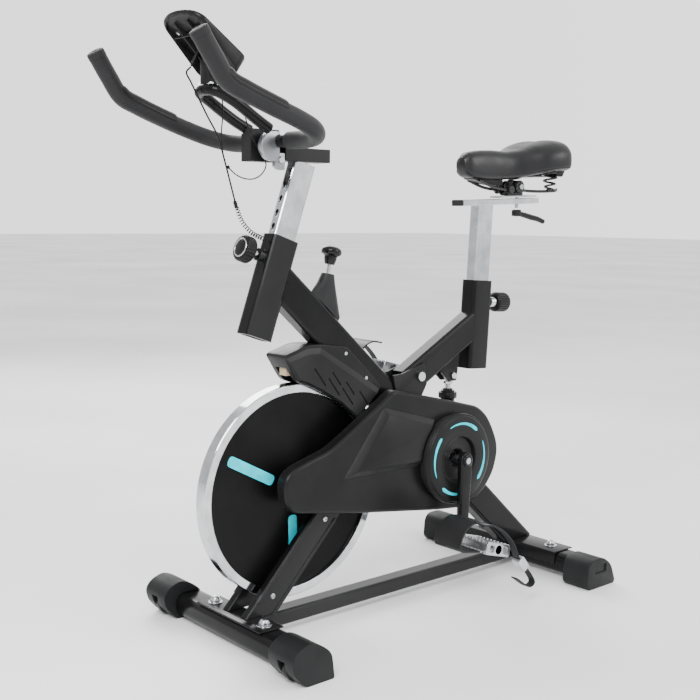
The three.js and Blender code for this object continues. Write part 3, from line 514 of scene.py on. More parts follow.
def base():
    """The two stabilisers with their caps, transport wheels, plates and nuts."""
    for name, spot, half in (("front_tube", FRONT_TUBE, 192), ("rear_tube", REAR_TUBE, 208)):
        prism(name + "_skin", stabiliser(*spot), -half, half, "black_paint", "frame", edge=1, nodes=[name])
    for side, word in SIDES:
        cap = prism("front_cap_skin_" + word, rounded(FRONT_CAP_SIDE, 12), *between(side, 171, 242),
                    "rubber", "frame", edge=6, segments=5, nodes=["front_cap_" + word])
        slot_x = between(side, WHEEL_X - 10, WHEEL_X + 10)
        mouth = [(-420, -40), (-343, -40), (-343, 45), (-420, 45)]
        cut_away(cap, raw_prism(stabiliser(*FRONT_TUBE, grow=0.4), *between(side, 160, 193)),
                 raw_prism(mouth, *slot_x),
                 raw_rod(P(slot_x[0], *WHEEL), P(slot_x[1], *WHEEL), 26))
        turned("transport_wheel_skin_" + word,
               [(-7.5, 9), (-7.5, 20), (-6, 22.6), (-3, 23), (3, 23), (6, 22.6), (7.5, 20), (7.5, 9),
                (6, 8), (6, 0)],
               P(side * WHEEL_X, *WHEEL), ACROSS, "black_plastic", "transport_wheel_" + word, sides=64,
               nodes=["transport_wheel_" + word])
        turned("wheel_pin_" + word, cylinder(-11, 11, 3.6), P(side * WHEEL_X, *WHEEL),
               ACROSS, "steel", "frame", sides=24)
        cap = prism("rear_cap_skin_" + word, rounded(REAR_CAP_SIDE, 14), *between(side, 184, 252),
                    "rubber", "frame", edge=6, segments=5, nodes=["rear_cap_" + word])
        recess = rounded([(450, 33), (490, 33), (490, 52), (450, 52)], 3)
        cut_away(cap, raw_prism(stabiliser(*REAR_TUBE, grow=0.4), *between(side, 180, 208.6)),
                 raw_prism(recess, *between(side, 249, 256)))
        acorn_nut("front_nut_" + word, P(side * 79.6, -314, 54.9), 10.5, "frame")
        acorn_nut("rear_nut_" + word, P(side * 105, 480, 58), 10.5, "frame")
    block("fork_base_plate_skin", (-103, -341, 51.3), (103, -287, 54.9), "black_paint", "frame", edge=1,
          nodes=["fork_base_plate"])
    block("rear_plate_top", (-145, 443.2, 55.4), (145, 508, 58), "black_paint", "frame", edge=1,
          nodes=["rear_saddle_plate"])
    block("rear_plate_lip", (-145, 443.2, 30), (145, 446.6, 57), "black_paint", "frame", edge=1)


# ------------------------------------------------------------ flywheel
def flywheel():
    """The chrome rim and the black web, deepened by painted shade for its recess, with three printed stripes
    on each side.
    """
    centre = P(0, *FLYWHEEL)
    rim = [(-13.5, 191.7), (-13.5, 206.5), (-12, 208), (12, 208), (13.5, 206.5), (13.5, 191.7),
           (12.5, 191.5), (-12.5, 191.5)]
    turned_ring("flywheel_rim_skin", rim, centre, ACROSS, "chrome", "flywheel", sides=192,
                nodes=["flywheel_rim"])
    web = [(-14, 0), (-14, 30), (-13, 32), (-4.5, 33), (-3, 36), (-3, 180), (-4.5, 184), (-4.5, 191.2),
           (4.5, 191.2), (4.5, 184), (3, 180), (3, 36), (4.5, 33), (13, 32), (14, 30), (14, 0)]
    # the web takes a deeper black as painted shade for its recess
    turned("flywheel_web_skin", web, centre, ACROSS, "black_paint", "flywheel", sides=192,
           nodes=["flywheel_web"], look=WEB_SHADE_BLACK)
    for turn in (152, 272, 32):
        for side in (-1, 1):
            a = math.radians(turn)
            run, wide = Vector((0, math.cos(a), math.sin(a))), Vector((0, -math.sin(a), math.cos(a)))
            outline = rounded([(50, -10.5), (167, -10.5), (167, 10.5), (50, 10.5)], 9)
            rings = [[centre + (run * r + wide * w + Vector((x * side, 0, 0))) / 1000 for r, w in outline]
                     for x in (2.8, 3.35)]
            piece(f"stripe_{turn}_{'left' if side > 0 else 'right'}", *skin(rings), "gloss_trim",
                  "flywheel", look=CYAN)


# ------------------------------------------------------------ belt cover and crank disc
COVER_SIDE = [
    (-255, 300), (-249, 318), (-231, 332), (-194, 343), (-146, 356), (-101, 381), (-52, 411),
    (-16, 432), (7, 447), (22, 457), (177, 421), (272, 397), (300, 375), (316, 352), (334, 316),
    (338, 288), (326, 247), (302, 216), (272, 194), (224, 181), (150, 188), (-63, 218),
    (-230, 246), (-250, 264)]
COVER_PANEL = [(-4, 412), (122, 376), (94, 304), (-88, 306)]


def shrunk(outline, distance):
    """The outline moved inwards by a distance along its corners' bisectors."""
    out = []
    count = len(outline)
    area = sum(a[0] * b[1] - b[0] * a[1] for a, b in zip(outline, outline[1:] + outline[:1]))
    sense = 1 if area > 0 else -1
    for i, corner in enumerate(outline):
        before, after = Vector(outline[i - 1]), Vector(outline[(i + 1) % count])
        corner = Vector(corner)
        a, b = (corner - before).normalized(), (after - corner).normalized()
        bisector = Vector((-(a + b).y, (a + b).x)).normalized() * sense
        lean = max(0.4, bisector.dot(Vector((-a.y, a.x)) * sense))
        out.append(corner + bisector * distance / lean)
    return out


def cover():
    """The hollow drive cover with its raised panel and the seat round the crank disc."""
    side = rounded(COVER_SIDE, 16, 4)
    steps = [(38.6, 0), (57, 0), (59.8, 0.7), (62, 2.4), (63.4, 4.6), (64, 7)]
    rings = [[P(x, y, z) for y, z in shrunk(side, inward)] for x, inward in steps]
    made = piece("belt_cover_skin", *skin(rings), "black_plastic", "frame",
                 nodes=["belt_cover", "belt_cover_back"])
    cut_away(made, raw_prism(shrunk(side, 3), 40.7, 57.9), raw_rod(P(30, *CRANK), P(80, *CRANK), 18, 48),
             raw_rod(P(30, *FLYWHEEL), P(45, *FLYWHEEL), 14, 32))
    grown = rounded(shrunk(COVER_PANEL, -12), 6)
    flat = rounded(COVER_PANEL, 6)
    rings = [[P(x, y, z) for y, z in ring] for x, ring in ((63.4, grown), (75.2, flat))]
    rings.append([P(76, y, z) for y, z in shrunk(flat, 1.2)])
    panel = piece("cover_panel", *skin(rings), "black_plastic", "frame")
    cut_away(panel, raw_rod(P(60, *CRANK), P(90, *CRANK), 99, 96))
    turned_ring("disc_seat", [(57.9, 20), (57.9, 91), (76.7, 91), (76.7, 20)], P(0, *CRANK), ACROSS,
                "black_plastic", "frame", sides=96)


def arc_band(name, centre, r, half_width, start, end, x0, x1, body, look):
    """A thin printed arc that widens from its start to its end."""
    outline = []
    for sign in (1, -1):
        steps = range(33) if sign > 0 else range(32, -1, -1)
        for k in steps:
            t = k / 32
            angle = math.radians(start + (end - start) * t)
            blunt = min(1, t * 14, (1 - t) * 14) ** 0.5
            width = (half_width * (0.3 + 0.7 * t)) * max(0.15, blunt)
            radius = r + sign * width
            outline.append((centre[0] + radius * math.cos(angle), centre[1] + radius * math.sin(angle)))
    rings = [[P(x, y, z) for y, z in outline] for x in (x0, x1)]
    return piece(name, *skin(rings), "gloss_trim", body, look=look)


def crank_disc():
    """The disc behind the crank, with four printed arcs and a raised lip."""
    profile = [(77, 22), (77, 96.5), (84, 96), (86.5, 94.5), (86.8, 92), (88.8, 91), (90, 88.5),
               (90, 50), (89.4, 48), (86, 46.6), (81, 45), (80, 43), (80, 22)]
    turned_ring("crank_disc_skin", profile, P(0, *CRANK), ACROSS, "black_plastic", "frame", sides=128,
                nodes=["crank_disc"])
    for k, start in enumerate((115, 25, -65, -155)):
        arc_band(f"disc_arc_{k}", CRANK, 75, 4.2, start, start - 68, 89.9, 90.35, "frame", CYAN)
    turned_ring("disc_lip", [(89.7, 50), (90.7, 50.4), (90.7, 51.6), (89.7, 52)], P(0, *CRANK), ACROSS,
                "black_plastic", "frame", sides=128)


# ------------------------------------------------------------ cranks and pedals
def crank_arms():
    """Both crank arms with their end bolts and pedal spindles."""
    for word, side, down in CRANKS:
        body = "crank"
        hub_y, hub_z = CRANK
        foot = (hub_y + down * CRANK_LEAN, hub_z + down * CRANK_LENGTH)
        outline = arc(CRANK, 17, -down * 17, 12) + arc(foot, -11.5, down * 11.5, 12)
        prism("crank_arm_skin_" + word, outline, *between(side, 98, 112), "black_paint", body,
              edge=3.5, segments=4, nodes=["crank_arm_" + word])
        turned("crank_bolt_" + word, [(0, 0), (0, 13), (2.5, 12.5), (4, 10), (4, 7), (2, 6.5), (2, 0)],
               P(side * 111.8, *CRANK), (side, 0, 0), "gloss_trim", body, sides=48)
        turned("pedal_spindle_" + word, [(-4, 0), (-4, 6.5), (2, 6.5), (2, 4.8), (92, 4.8), (92, 0)],
               P(side * 112, *foot), (side, 0, 0), "steel", body, sides=24)


def on_pedal(side, down):
    """A function that places the pedal's own points (across, rearward, up) in mm on its crank."""
    hub_y, hub_z = CRANK
    y, z = hub_y + down * CRANK_LEAN, hub_z + down * CRANK_LENGTH
    c, s = math.cos(PEDAL_TILT), math.sin(PEDAL_TILT)

    def place(x, run, out):
        return P(side * x, y + run * c - out * s, z + run * s + out * c)

    return place


def pedal(word, side, down):
    """A cage pedal: plates, toothed rails, webs and the barrel on its spindle."""
    body = "pedal_" + word
    place = on_pedal(side, down)
    x0, x1 = PEDAL_INNER, PEDAL_OUTER

    def bar(name, low, high, slot="steel", look=CAST, edge=1.2, **more):
        corners = [(low[1], low[2]), (high[1], low[2]), (high[1], high[2]), (low[1], high[2])]
        rings = [[place(x, y, z) for y, z in corners] for x in (low[0], high[0])]
        return soften(piece(name + "_" + word, *skin(rings), slot, body, look=look, **more), edge, 2)

    bar("pedal_inner_plate", (x0, -36, -12), (x0 + 5, 36, 12), nodes=["pedal_" + word])
    end = bar("pedal_end_plate", (x1 - 6, -36, -13), (x1, 36, 13))
    windows = []
    for low, high in ((-28, -13), (13, 28)):
        corners = rounded([(low, -7), (high, -7), (high, 7), (low, 7)], 2.5)
        windows.append(raw(*slab(corners, (x1 - 9, x1 + 3), place)))
    cut_away(end, *windows)
    for sign in (-1, 1):
        bar(f"pedal_rail_{'front' if sign < 0 else 'rear'}", (x0, *between(sign, 33, 37)[:1], -9),
            (x1, *between(sign, 33, 37)[1:], 9))
        for k in range(9):
            x = x0 + 6 + k * 9.6
            for up in (-1, 1):
                low, high = between(up, 8, 12.6)
                a, b = between(sign, 33, 37)
                bar(f"pedal_tooth_{k}_{'t' if up > 0 else 'b'}{'f' if sign < 0 else 'r'}", (x, a, low),
                    (x + 4.6, b, high), edge=0.8)
    barrel = [(0, 0), (0, 9.6), (2, 10), (20, 9), (72, 9), (90, 10), (92, 9.6), (92, 0)]
    turned("pedal_barrel_" + word, barrel, place(x0, 0, 0), (side, 0, 0), "steel", body, look=CAST, sides=48)
    for x in (x0 + 26, x0 + 62):
        bar(f"pedal_web_{x}", (x, -34, -6), (x + 5, 34, 6))


def strip(name, line, thickness, x0, x1, place, slot, body, **more):
    """A bent band of even thickness across the pedal, from its side line."""
    path = curve_through([Vector((y, z, 0)) for y, z in line], 6 * len(line))
    rings = []
    for i, spot in enumerate(path):
        ahead = (path[min(i + 1, len(path) - 1)] - path[max(i - 1, 0)]).normalized()
        out = Vector((-ahead.y, ahead.x, 0)) * thickness / 2
        corners = [(x0, spot + out), (x1, spot + out), (x1, spot - out), (x0, spot - out)]
        rings.append([place(x, p.x, p.y) for x, p in corners])
    return piece(name, *skin(rings), slot, body, **more)


def toe_clip(word, side, down):
    """The toe cage, its strap and the buckle."""
    body = "pedal_" + word
    place = on_pedal(side, down)
    bow = [(-42.5, -10), (-70, -13), (-101, -13), (-105, 8), (-95, 31), (-74, 46), (-48, 49)]
    strap = [(-80, 44.5), (-48, 48), (-14, 40), (23, 19), (54, -12), (98, -38), (117, -56), (106, -65),
             (56, -51)]
    strip("toe_cage_" + word, bow, 3, 126, 198, place, "black_plastic", body,
          nodes=["toe_clip_" + word], sharp=50)
    strip("toe_strap_" + word, strap, 2.4, 209, 225, place, "black_plastic", body, look=WEBBING, sharp=50)
    strip("strap_bridge_" + word, [(-76, 45.5), (-68, 46.6), (-60, 48)], 3, 196, 224, place,
          "black_plastic", body)
    corners = rounded([(48, -18), (74, -36), (86, -22), (60, -4)], 3)
    rings = [[place(x, y, z) for y, z in corners] for x in (207.5, 226.2)]
    buckle = piece("strap_buckle_" + word, *skin(rings), "steel", body, look=CAST)
    hole = [(54, -16), (73, -29.5), (80, -22), (61, -8.5)]
    cut_away(buckle, raw(*slab(hole, (209, 224.7), place)))


# ------------------------------------------------------------ frame tubes, shroud and brake
SHROUD_SIDE = [(-232, 541), (-174, 558), (-140, 557), (-76, 548), (18, 460), (1, 449), (-57, 409),
               (-87, 435), (-139, 465), (-176, 481), (-198, 488), (-212, 508)]

SHROUD_FOOT = [(-231, 539), (-175, 556.5), (-142, 555.5), (-66, 511), (14, 461), (0, 449.5), (-48, 402),
               (-89, 437), (-140, 467), (-177, 483), (-198, 490), (-211, 509)]
SHROUD_FACE = [(-222, 529), (-175, 541), (-148, 540), (-78, 497), (0, 449), (-3, 447), (-50, 407),
               (-92, 441), (-142, 470), (-178, 487), (-196, 494), (-206, 510)]
VENT_RUN, VENT_STEP = Vector((0.61, -0.79)), Vector((35, -22))
VENT_ROWS = ((Vector((-162, 513)), 45), (Vector((-117, 502)), 34))


def shroud():
    """Both halves of the brake's plastic cover, with slanted vents as near-black strips of painted shade, and
    two screws each.
    """
    outline = rounded(SHROUD_SIDE, 9, 4)
    run = (Vector(STRUT_BOTTOM) - Vector(STRUT_TOP)).normalized()
    out = Vector((-run.y, run.x))
    strut = [Vector(end) + out * side * 33.4
             for side, end in ((1, STRUT_TOP), (1, STRUT_BOTTOM), (-1, STRUT_BOTTOM), (-1, STRUT_TOP))]
    room = [(-218, 499), (-215, 532), (-172, 548), (-100, 545), (-100, 500), (-150, 470), (-200, 470)]
    for side, word in SIDES:
        made = prism("shroud_skin_" + word, outline, side * 0.2, side * SHROUD_EDGE_X, "black_plastic",
                     "frame", edge=2, segments=4, rim=side * SHROUD_EDGE_X,
                     nodes=["brake_shroud_" + word])
        cut_away(made, raw_prism(strut, *between(side, -2, 20.4)))
        cut_away(made, raw_prism(room, *between(side, -2, 17)))
        cut_away(made, raw_rod(P(-side * 2, *FLYWHEEL), P(side * 17, *FLYWHEEL), 214, 96))
        foot = [P(side * FOOT_OF_PANEL_X, y, z) for y, z in SHROUD_FOOT]
        face = [P(side * SHROUD_FACE_X, y, z) for y, z in SHROUD_FACE]
        piece("shroud_panel_" + word, *skin([foot, face]), "black_plastic", "frame", sharp=10)
        # each vent is a thin near-black strip on the panel's face: painted shade standing for its slot
        for k in range(6):
            first, length = VENT_ROWS[k // 3]
            start = first + VENT_STEP * (k % 3)
            end = start + VENT_RUN * length
            across = Vector((-VENT_RUN.y, VENT_RUN.x)) * 1.5
            corners = [start - across, start + across, end + across, end - across]
            prism(f"shroud_vent_{word}_{k}", corners, side * 34.3, side * 34.9, "black_plastic", "frame",
                  edge=0.05, segments=1, look=HOLE_SHADE)
        for k, (y, z) in enumerate(((-80, 535), (-26, 482))):
            screw(f"shroud_screw_{word}_{k}", P(side * SHROUD_EDGE_X, y, z), (side, 0, 0), 3.6, "frame",
                  height=1.6)


def brake_knob_and_rod():
    """The mushroom knob with its bright cap, and the chrome rod under it."""
    base_point = P(0, *BRAKE_BASE)
    up = (0, *BRAKE_UP)
    knob = [(74.4, 0), (74.4, 9), (76, 10), (84, 12), (90, 12.6), (92.5, 15), (94, 18.5), (97, 20),
            (101, 20.2), (105, 19), (108, 15), (109, 12.5), (109, 0)]
    turned("brake_knob_skin", knob, base_point, up, "gloss_trim", "brake_knob", sides=64,
           nodes=["brake_knob"])
    cap = [(108.9, 0), (108.9, 11.5), (109.8, 11), (110, 0)]
    turned("brake_knob_cap", cap, base_point, up, "gloss_trim", "brake_knob", look=SILVER_PAINT, sides=48)
    turned("brake_rod_skin", cylinder(-118, 74, 4), base_point, up, "chrome", "brake_slider",
           sides=40)


# ------------------------------------------------------------ locking knobs
def locking_knob(name, spot, out, grip, thickness, body):
    """A fluted grip on a collar, with a bright ring and a plain domed face."""
    origin = P(0, *spot)
    axis = (0, *out)
    turned(name + "_shank", [(-3.5, 0), (-3.5, 4.8), (11, 4.8), (11, 9), (12, 9.6), (25, 11.8), (25.5, 0)],
           origin, axis, "chrome", body, sides=48)

    def flutes(angle, reach):
        return 0.7 * math.cos(24 * angle) if 29 < reach < end else 0

    end = 28.5 + thickness
    profile = [(25, 0), (25, 14), (28, grip - 2.5), (30, grip - 0.8)]
    profile += [(30.5 + (thickness - 4) * k / 6, grip - 0.8) for k in range(7)]
    profile += [(end, grip * 0.92), (end + 1, grip * 0.8), (end + 1, 0)]
    turned(name + "_grip", profile, origin, axis, "black_plastic", body, sides=240, ripple=flutes,
           nodes=[name])
    ring = [(end + 0.6, grip * 0.6), (end + 2, grip * 0.62), (end + 2, grip * 0.72), (end + 0.6, grip * 0.74)]
    turned_ring(name + "_ring", ring, origin, axis, "chrome", body, sides=96)
    face = [(end + 0.5, 0), (end + 0.5, grip * 0.58), (end + 2.2, grip * 0.54), (end + 3, grip * 0.3),
            (end + 3.2, 0)]
    turned(name + "_face", face, origin, axis, "gloss_trim", body, sides=64)


# ------------------------------------------------------------ handlebar and console
HANDLEBAR_HALF = [
    (167, -505, 1086), (169, -478, 1046), (170, -452, 1012), (171, -420, 998), (172, -366, 979),
    (171, -309, 961), (162, -272, 949), (138, -246, 940), (104, -236, 936), (40, -235, 936)]
LOOP_HALF = [(30, -268, 956), (33, -300, 972), (33, -348, 1000), (22, -379, 1015)]


def whole(half):
    """Both halves of a bar from its left half, as frame points."""
    return [P(*p) for p in half] + [P(-x, y, z) for x, y, z in reversed(half)]


def handlebar():
    """The bar with its foam, end caps and pulse pads, and the loop that carries the console."""
    line = curve_through(whole(HANDLEBAR_HALF), 260)
    bare = [p for p in line if abs(p.x) < FOAM_FROM + 0.006]
    tube("bar_middle", bare, BARE_RADIUS, "black_paint", "handlebar", sides=40, nodes=["handlebar"], sharp=60)
    for side, word in SIDES:
        covered = [p for p in line if p.x * side > FOAM_FROM]
        tube("foam_" + word, covered, FOAM_RADIUS, "foam", "handlebar", sides=40, sharp=60)
    step = length_of(line) / (len(line) - 1)
    for word, path in (("left", line), ("right", line[::-1])):
        outward = (path[0] - path[1]).normalized()
        ring = [(-0.2, 0), (1.8, 8), (1.2, 13), (0, 15.6), (-3, 16.5), (-11, 16.5), (-11.6, 15.5),
                (-11.6, 0)]
        turned("bar_end_" + word, ring, path[0], outward, "foam", "handlebar", sides=48)
        pad_line = [path[i] for i in range(int(0.075 / step), int(0.215 / step))]
        rings = []
        frames = frames_along(pad_line)
        for i, (centre, u, v) in enumerate(frames):
            t = i / (len(frames) - 1)
            lift = min(1, math.sin(math.pi * t) * 5) ** 0.5
            ring_points = []
            up = v if v.z > 0 else -v
            for k in range(17):
                a = math.pi * (k / 16)
                r = 0.0159 + 0.0032 * lift * math.sin(a) ** 0.6
                ring_points.append(centre + u * r * math.cos(a) + up * r * math.sin(a))
            rings.append(ring_points)
        piece("pulse_pad_" + word, *skin(rings), "foam", "handlebar", look=LOOKS["black_plastic"], sharp=60)
    loop = curve_through(whole(LOOP_HALF), 120)
    tube("console_loop_skin", loop, 0.0105, "black_paint", "handlebar", sides=32, nodes=["console_loop"],
         sharp=60)


def console_point(x, run, out):
    """A point in mm on the tilted console: across, down its face and out of it."""
    return P(x, -427 + 0.822 * run + 0.569 * out, 1131 - 0.569 * run + 0.822 * out)


CONSOLE_FACE = [(-59, 2), (-48, -10), (-26, -17), (0, -19), (26, -17), (48, -10), (59, 2), (59, 104),
                (48, 114), (-48, 114), (-59, 104)]


def console():
    """The console's shell with its open back, bezel, screen, keys, arm and cable relief."""
    face = rounded(CONSOLE_FACE, 9, 4)
    middle = 45

    def layer(shrink, out, fall=0.0):
        return [console_point(x * shrink, middle + (run - middle) * shrink, out - fall * run)
                for x, run in face]

    rings = [layer(0.9, -9.6, 0.2), layer(0.95, -8.6, 0.2), layer(0.99, -6, 0.2), layer(1, -3, 0.2),
             layer(1, 0.2), layer(0.99, 2), layer(0.965, 3)]
    made = piece("console_skin", *skin(rings), "black_plastic", "handlebar", nodes=["console"])
    recess = [layer(0.9, -25, 0.2), layer(0.9, -5, 0.02)]
    cut_away(made, raw(*skin(recess)))
    for k, (across, run) in enumerate(((-28, 18), (28, 18), (-28, 88), (28, 88))):
        spot = console_point(across, run, -5)
        down = console_point(0, 0, -1) - console_point(0, 0, 0)
        depth = 4 + 0.18 * run
        turned(f"console_boss_{k}", [(0, 0), (0, 6), (depth, 5), (depth, 0)], spot, down,
               "black_plastic", "handlebar", sides=24)
        screw(f"console_boss_screw_{k}", spot + down * depth, down, 3, "handlebar", height=1.2)

    def rib(name, low, high):
        """A moulded wall inside the console's back, from one (across, run) point to another."""
        ends = []
        for across, run in (low, high):
            ends.append([console_point(across + dx, run + dr, out) for dx, dr, out in (
                (-0.9, -0.9, -4), (0.9, 0.9, -4), (0.9, 0.9, -9 - 0.2 * run), (-0.9, -0.9, -9 - 0.2 * run))])
        piece(name, *skin(ends), "black_plastic", "handlebar")

    rib("console_rib_front", (-46, 26), (46, 26))
    rib("console_rib_left", (20, 0), (20, 108))
    rib("console_rib_right", (-20, 0), (-20, 108))

    def panel(name, corners, out0, out1, slot, look, radius=4):
        outline = rounded(corners, radius)
        rings = [[console_point(x, run, out) for x, run in outline] for out in (out0, out1)]
        return soften(piece(name, *skin(rings), slot, "handlebar", look=look), 0.4, 2)

    panel("console_bezel", [(-50, 2), (50, 2), (50, 106), (-50, 106)], 2.8, 3.6, "gloss_trim", None, 8)
    panel("console_screen", [(-40, 10), (40, 10), (40, 62), (-40, 62)], 3.4, 4, "gloss_trim", SCREEN)
    panel("console_display", [(-35, 15), (35, 15), (35, 57), (-35, 57)], 3.9, 4.1, "gloss_trim",
          LIQUID_CRYSTAL, 2)
    for k, x in enumerate((-30, -10, 10, 30)):
        panel(f"console_key_{k}", [(x - 7, 76), (x + 7, 76), (x + 7, 90), (x - 7, 90)], 3.4, 5.2,
              "black_plastic", SILVER_PAINT, 6)
    block("console_arm", (-13, -386, 1016), (13, -366, 1072), "black_plastic", "handlebar", edge=3)
    relief = [(-6, 0), (-6, 4.6), (2, 4.4), (14, 3.6), (25, 2.4), (25, 0)]
    turned("console_relief", relief, P(-20, -386, 1080), (0, -12, -22), "cord", "handlebar", sides=24)
    for k, x in enumerate((-14, 14)):
        turned(f"loop_clamp_{k}", cylinder(-3, 3, 6.5), P(x, -382, 1024), ACROSS,
               "chrome", "handlebar", sides=6)


# ------------------------------------------------------------ saddle
SADDLE = [  # station Y, half width, lowest and highest Z
    (263, 12, 906, 926), (276, 21, 890, 938), (305, 26, 884, 945), (350, 30, 883, 948),
    (395, 38, 886, 948), (430, 56, 891, 954), (465, 79, 898, 967), (505, 90, 903, 977),
    (532, 87, 905, 976), (546, 70, 908, 966)]


def saddle_ring(y, half, low, high, sides=72):
    """A cross-section with a crowned top and a flat base that turns in sharply."""
    ring = []
    for k in range(sides):
        angle = 2 * math.pi * k / sides
        c, s = math.cos(angle), math.sin(angle)
        x = half * math.copysign(abs(c) ** 0.6, c)
        z = math.copysign(abs(s) ** (0.85 if s > 0 else 0.42), s)
        crease = -2.2 * math.exp(-(x / 12) ** 2) * min(1, max(0, (y - 420) / 60)) if s > 0 else 0
        seat = 0.62 if s > 0 else 0.38
        ring.append(P(x, y, low + (high - low) * (0.38 + seat * z) + crease))
    return ring


def saddle():
    """The padded cushion with its welt, the plastic base under its nose and the wire rails."""
    first = curve_through([Vector((y, half, 0)) for y, half, _, _ in SADDLE], 72)
    heights = curve_through([Vector((y, low, high)) for y, _, low, high in SADDLE], 256)
    rings = []
    for spot in first:
        near = min(heights, key=lambda h: abs(h.x - spot.x))
        rings.append(saddle_ring(spot.x, spot.y, near.y, near.z))
    made = piece("saddle_cushion", *skin(rings), "vinyl", "saddle", nodes=["saddle"], sharp=70)
    for side, edge in (("left", 68), ("right", 40)):
        welt = [ring[edge] for ring in rings[2:-2]]
        tube("saddle_welt_" + side, welt, 0.0011, "vinyl", "saddle", sides=8, sharp=60)
    base = rounded([(284, 893), (290, 884), (330, 876), (374, 871), (384, 873), (384, 893)], 3)
    prism("saddle_base_nose", base, -15, 15, "black_plastic", "saddle", edge=3)
    shelf = rounded([(506, 912), (512, 896), (533, 895), (543, 912)], 3)
    prism("saddle_base_rear", shelf, -62, 62, "black_plastic", "saddle", edge=3)
    for side, word in SIDES:
        rail = [(16, 306, 882), (16, 350, 869), (15, 392, 864), (15, 440, 864), (24, 468, 862),
                (44, 496, 862), (60, 512, 864), (66, 506, 866)]
        line = curve_through([P(side * x, y, z) for x, y, z in rail], 60)
        tube("saddle_rail_" + word, line, 0.0033, "steel", "saddle", sides=16, look=BLACK_STEEL,
             nodes=["saddle_springs"] if side > 0 else (), sharp=60)
        x, y, z = SPRING_CENTRE
        steps = 28 * SPRING_TURNS
        spring = []
        for k in range(steps + 1):
            t = k / steps
            wide = 9 + 8 * t
            angle = 2 * math.pi * SPRING_TURNS * t
            spring.append(P(side * (x + wide * math.cos(angle)), y + wide * math.sin(angle),
                            z + SPRING_HEIGHT * t))
        tube("saddle_coil_" + word, spring, 0.0024, "steel", "saddle", sides=12, look=BLACK_STEEL, sharp=60)
        turned("coil_foot_" + word, [(-4, 0), (-4, 7), (-2, 8), (2, 8), (3, 6), (3, 0)],
               P(side * x, y, z), UPWARD, "steel", "saddle", sides=32, look=BLACK_STEEL)


def clamp_teeth(angle, reach):
    """The height of a clamp disc's teeth in mm round its edge."""
    return 0.7 * math.cos(20 * angle)


def saddle_clamp():
    """The slide plate on the rail, and the toothed clamp that lets the saddle tilt."""
    body = "saddle_carriage"
    beam("slide_plate", (379, 847.5), (498, 852), 34, 4.6, 1, "chrome", body, nodes=["saddle_carriage"])
    turned("clamp_stud", cylinder(0, 36, 4.4), P(0, 450, 824), UPWARD, "steel", body,
           sides=32)
    block("clamp_yoke", (-13, 406, 851.5), (13, 456, 862), "steel", body, edge=2, look=BLACK_STEEL)
    for y, z, reach in ((406, 864.5, 9), (434, 871, 13.5)):
        for k, x in enumerate((-24, -13.5, 6.5, 17)):
            disc = [(0, 0), (0, reach - 1.1), (1.2, reach), (5.8, reach), (7, reach - 1.1), (7, 0)]
            turned(f"clamp_disc_{y}_{k}", disc, P(x, y, z), ACROSS, "steel", body, sides=120,
                   ripple=clamp_teeth, look=BLACK_STEEL)
    turned("clamp_bolt", [(-28, 0), (-28, 6.5), (-24, 6.5), (-24, 4), (24, 4), (24, 6.5), (28, 6.5), (28, 0)],
           P(0, 434, 871), ACROSS, "steel", body, sides=6)


def clamp_lever():
    """The lever's swelling handle, its hub and the pin in it."""
    route = ((456, 812), (480, 808), (500, 804), (524, 800), (545, 794))

    def swell(t):
        return 0.0046 + 0.0018 * math.sin(math.pi * min(1, t * 0.7 + 0.15))

    tube("lever_handle", curve_through([P(0, y, z) for y, z in route], 30), swell, "black_plastic",
         "clamp_lever", sides=24, nodes=["clamp_lever"], sharp=60)
    turned("lever_hub", [(0, 0), (0, 9.4), (1.5, 10.8), (13, 10.8), (14.6, 9), (14.6, 0)], P(0, 450, 806),
           UPWARD, "black_plastic", "clamp_lever", sides=48)
    turned("lever_pin", [(-1.2, 0), (-1.2, 5), (0.4, 5.5), (0.4, 0)], P(0, 450, 806), UPWARD, "chrome",
           "clamp_lever", sides=32)


# ------------------------------------------------------------ posts, stem and small fittings
def post_holes():
    """Thin near-black discs of painted shade for the locking holes down the side of each post that faces its
    knob.
    """
    for name, top, down, out, body in (("head", HEAD_TOP, HEAD_DOWN, HEAD_KNOB_OUT, "handlebar"),
                                       ("seat", SEAT_TOP, SEAT_DOWN, SEAT_KNOB_OUT, "seat_post")):
        for k in range(1, 6):
            spot = along(along(top, down, 42 - HOLE_PITCH * (k + 0.2)), out, 25.35)
            # each hole is a disc 0.2 mm thick on the post, painted shade with no opening
            turned(f"{name}_hole_{k}", cylinder(0, 0.2, 4.6), P(0, *spot), (0, *out),
                   "black_plastic", body, look=HOLE_SHADE, sides=32)


def stem():
    """The steel half-round clamp beside the black block, its lug and its hex bolt."""
    y, z = CLAMP_CENTRE
    angles = [math.pi / 2 + math.pi * k / 24 for k in range(25)]
    curve = [(y + CLAMP_RADIUS * math.cos(a), z + CLAMP_RADIUS * math.sin(a)) for a in angles]
    outline = [(CLAMP_EDGE, z + CLAMP_RADIUS), *curve, (CLAMP_EDGE, z - CLAMP_RADIUS)]
    prism("stem_clamp_plate", outline, 8, 21.6, "chrome", "handlebar", edge=1.6, segments=4,
          nodes=["stem_clamp"], look=SATIN_STEEL)
    lug = rounded([(-245, 915), (-245, 890), (-236, 884), (-223, 884), (-223, 915)], 3)
    prism("stem_lug", lug, 8.5, 19.6, "chrome", "handlebar", edge=1.2, look=SATIN_STEEL)
    turned("stem_bolt", [(0, 0), (0, 6.8), (4.4, 6.8), (5, 6), (5, 0)], P(19.6, -233, 902), ACROSS,
           "steel", "handlebar", sides=6)


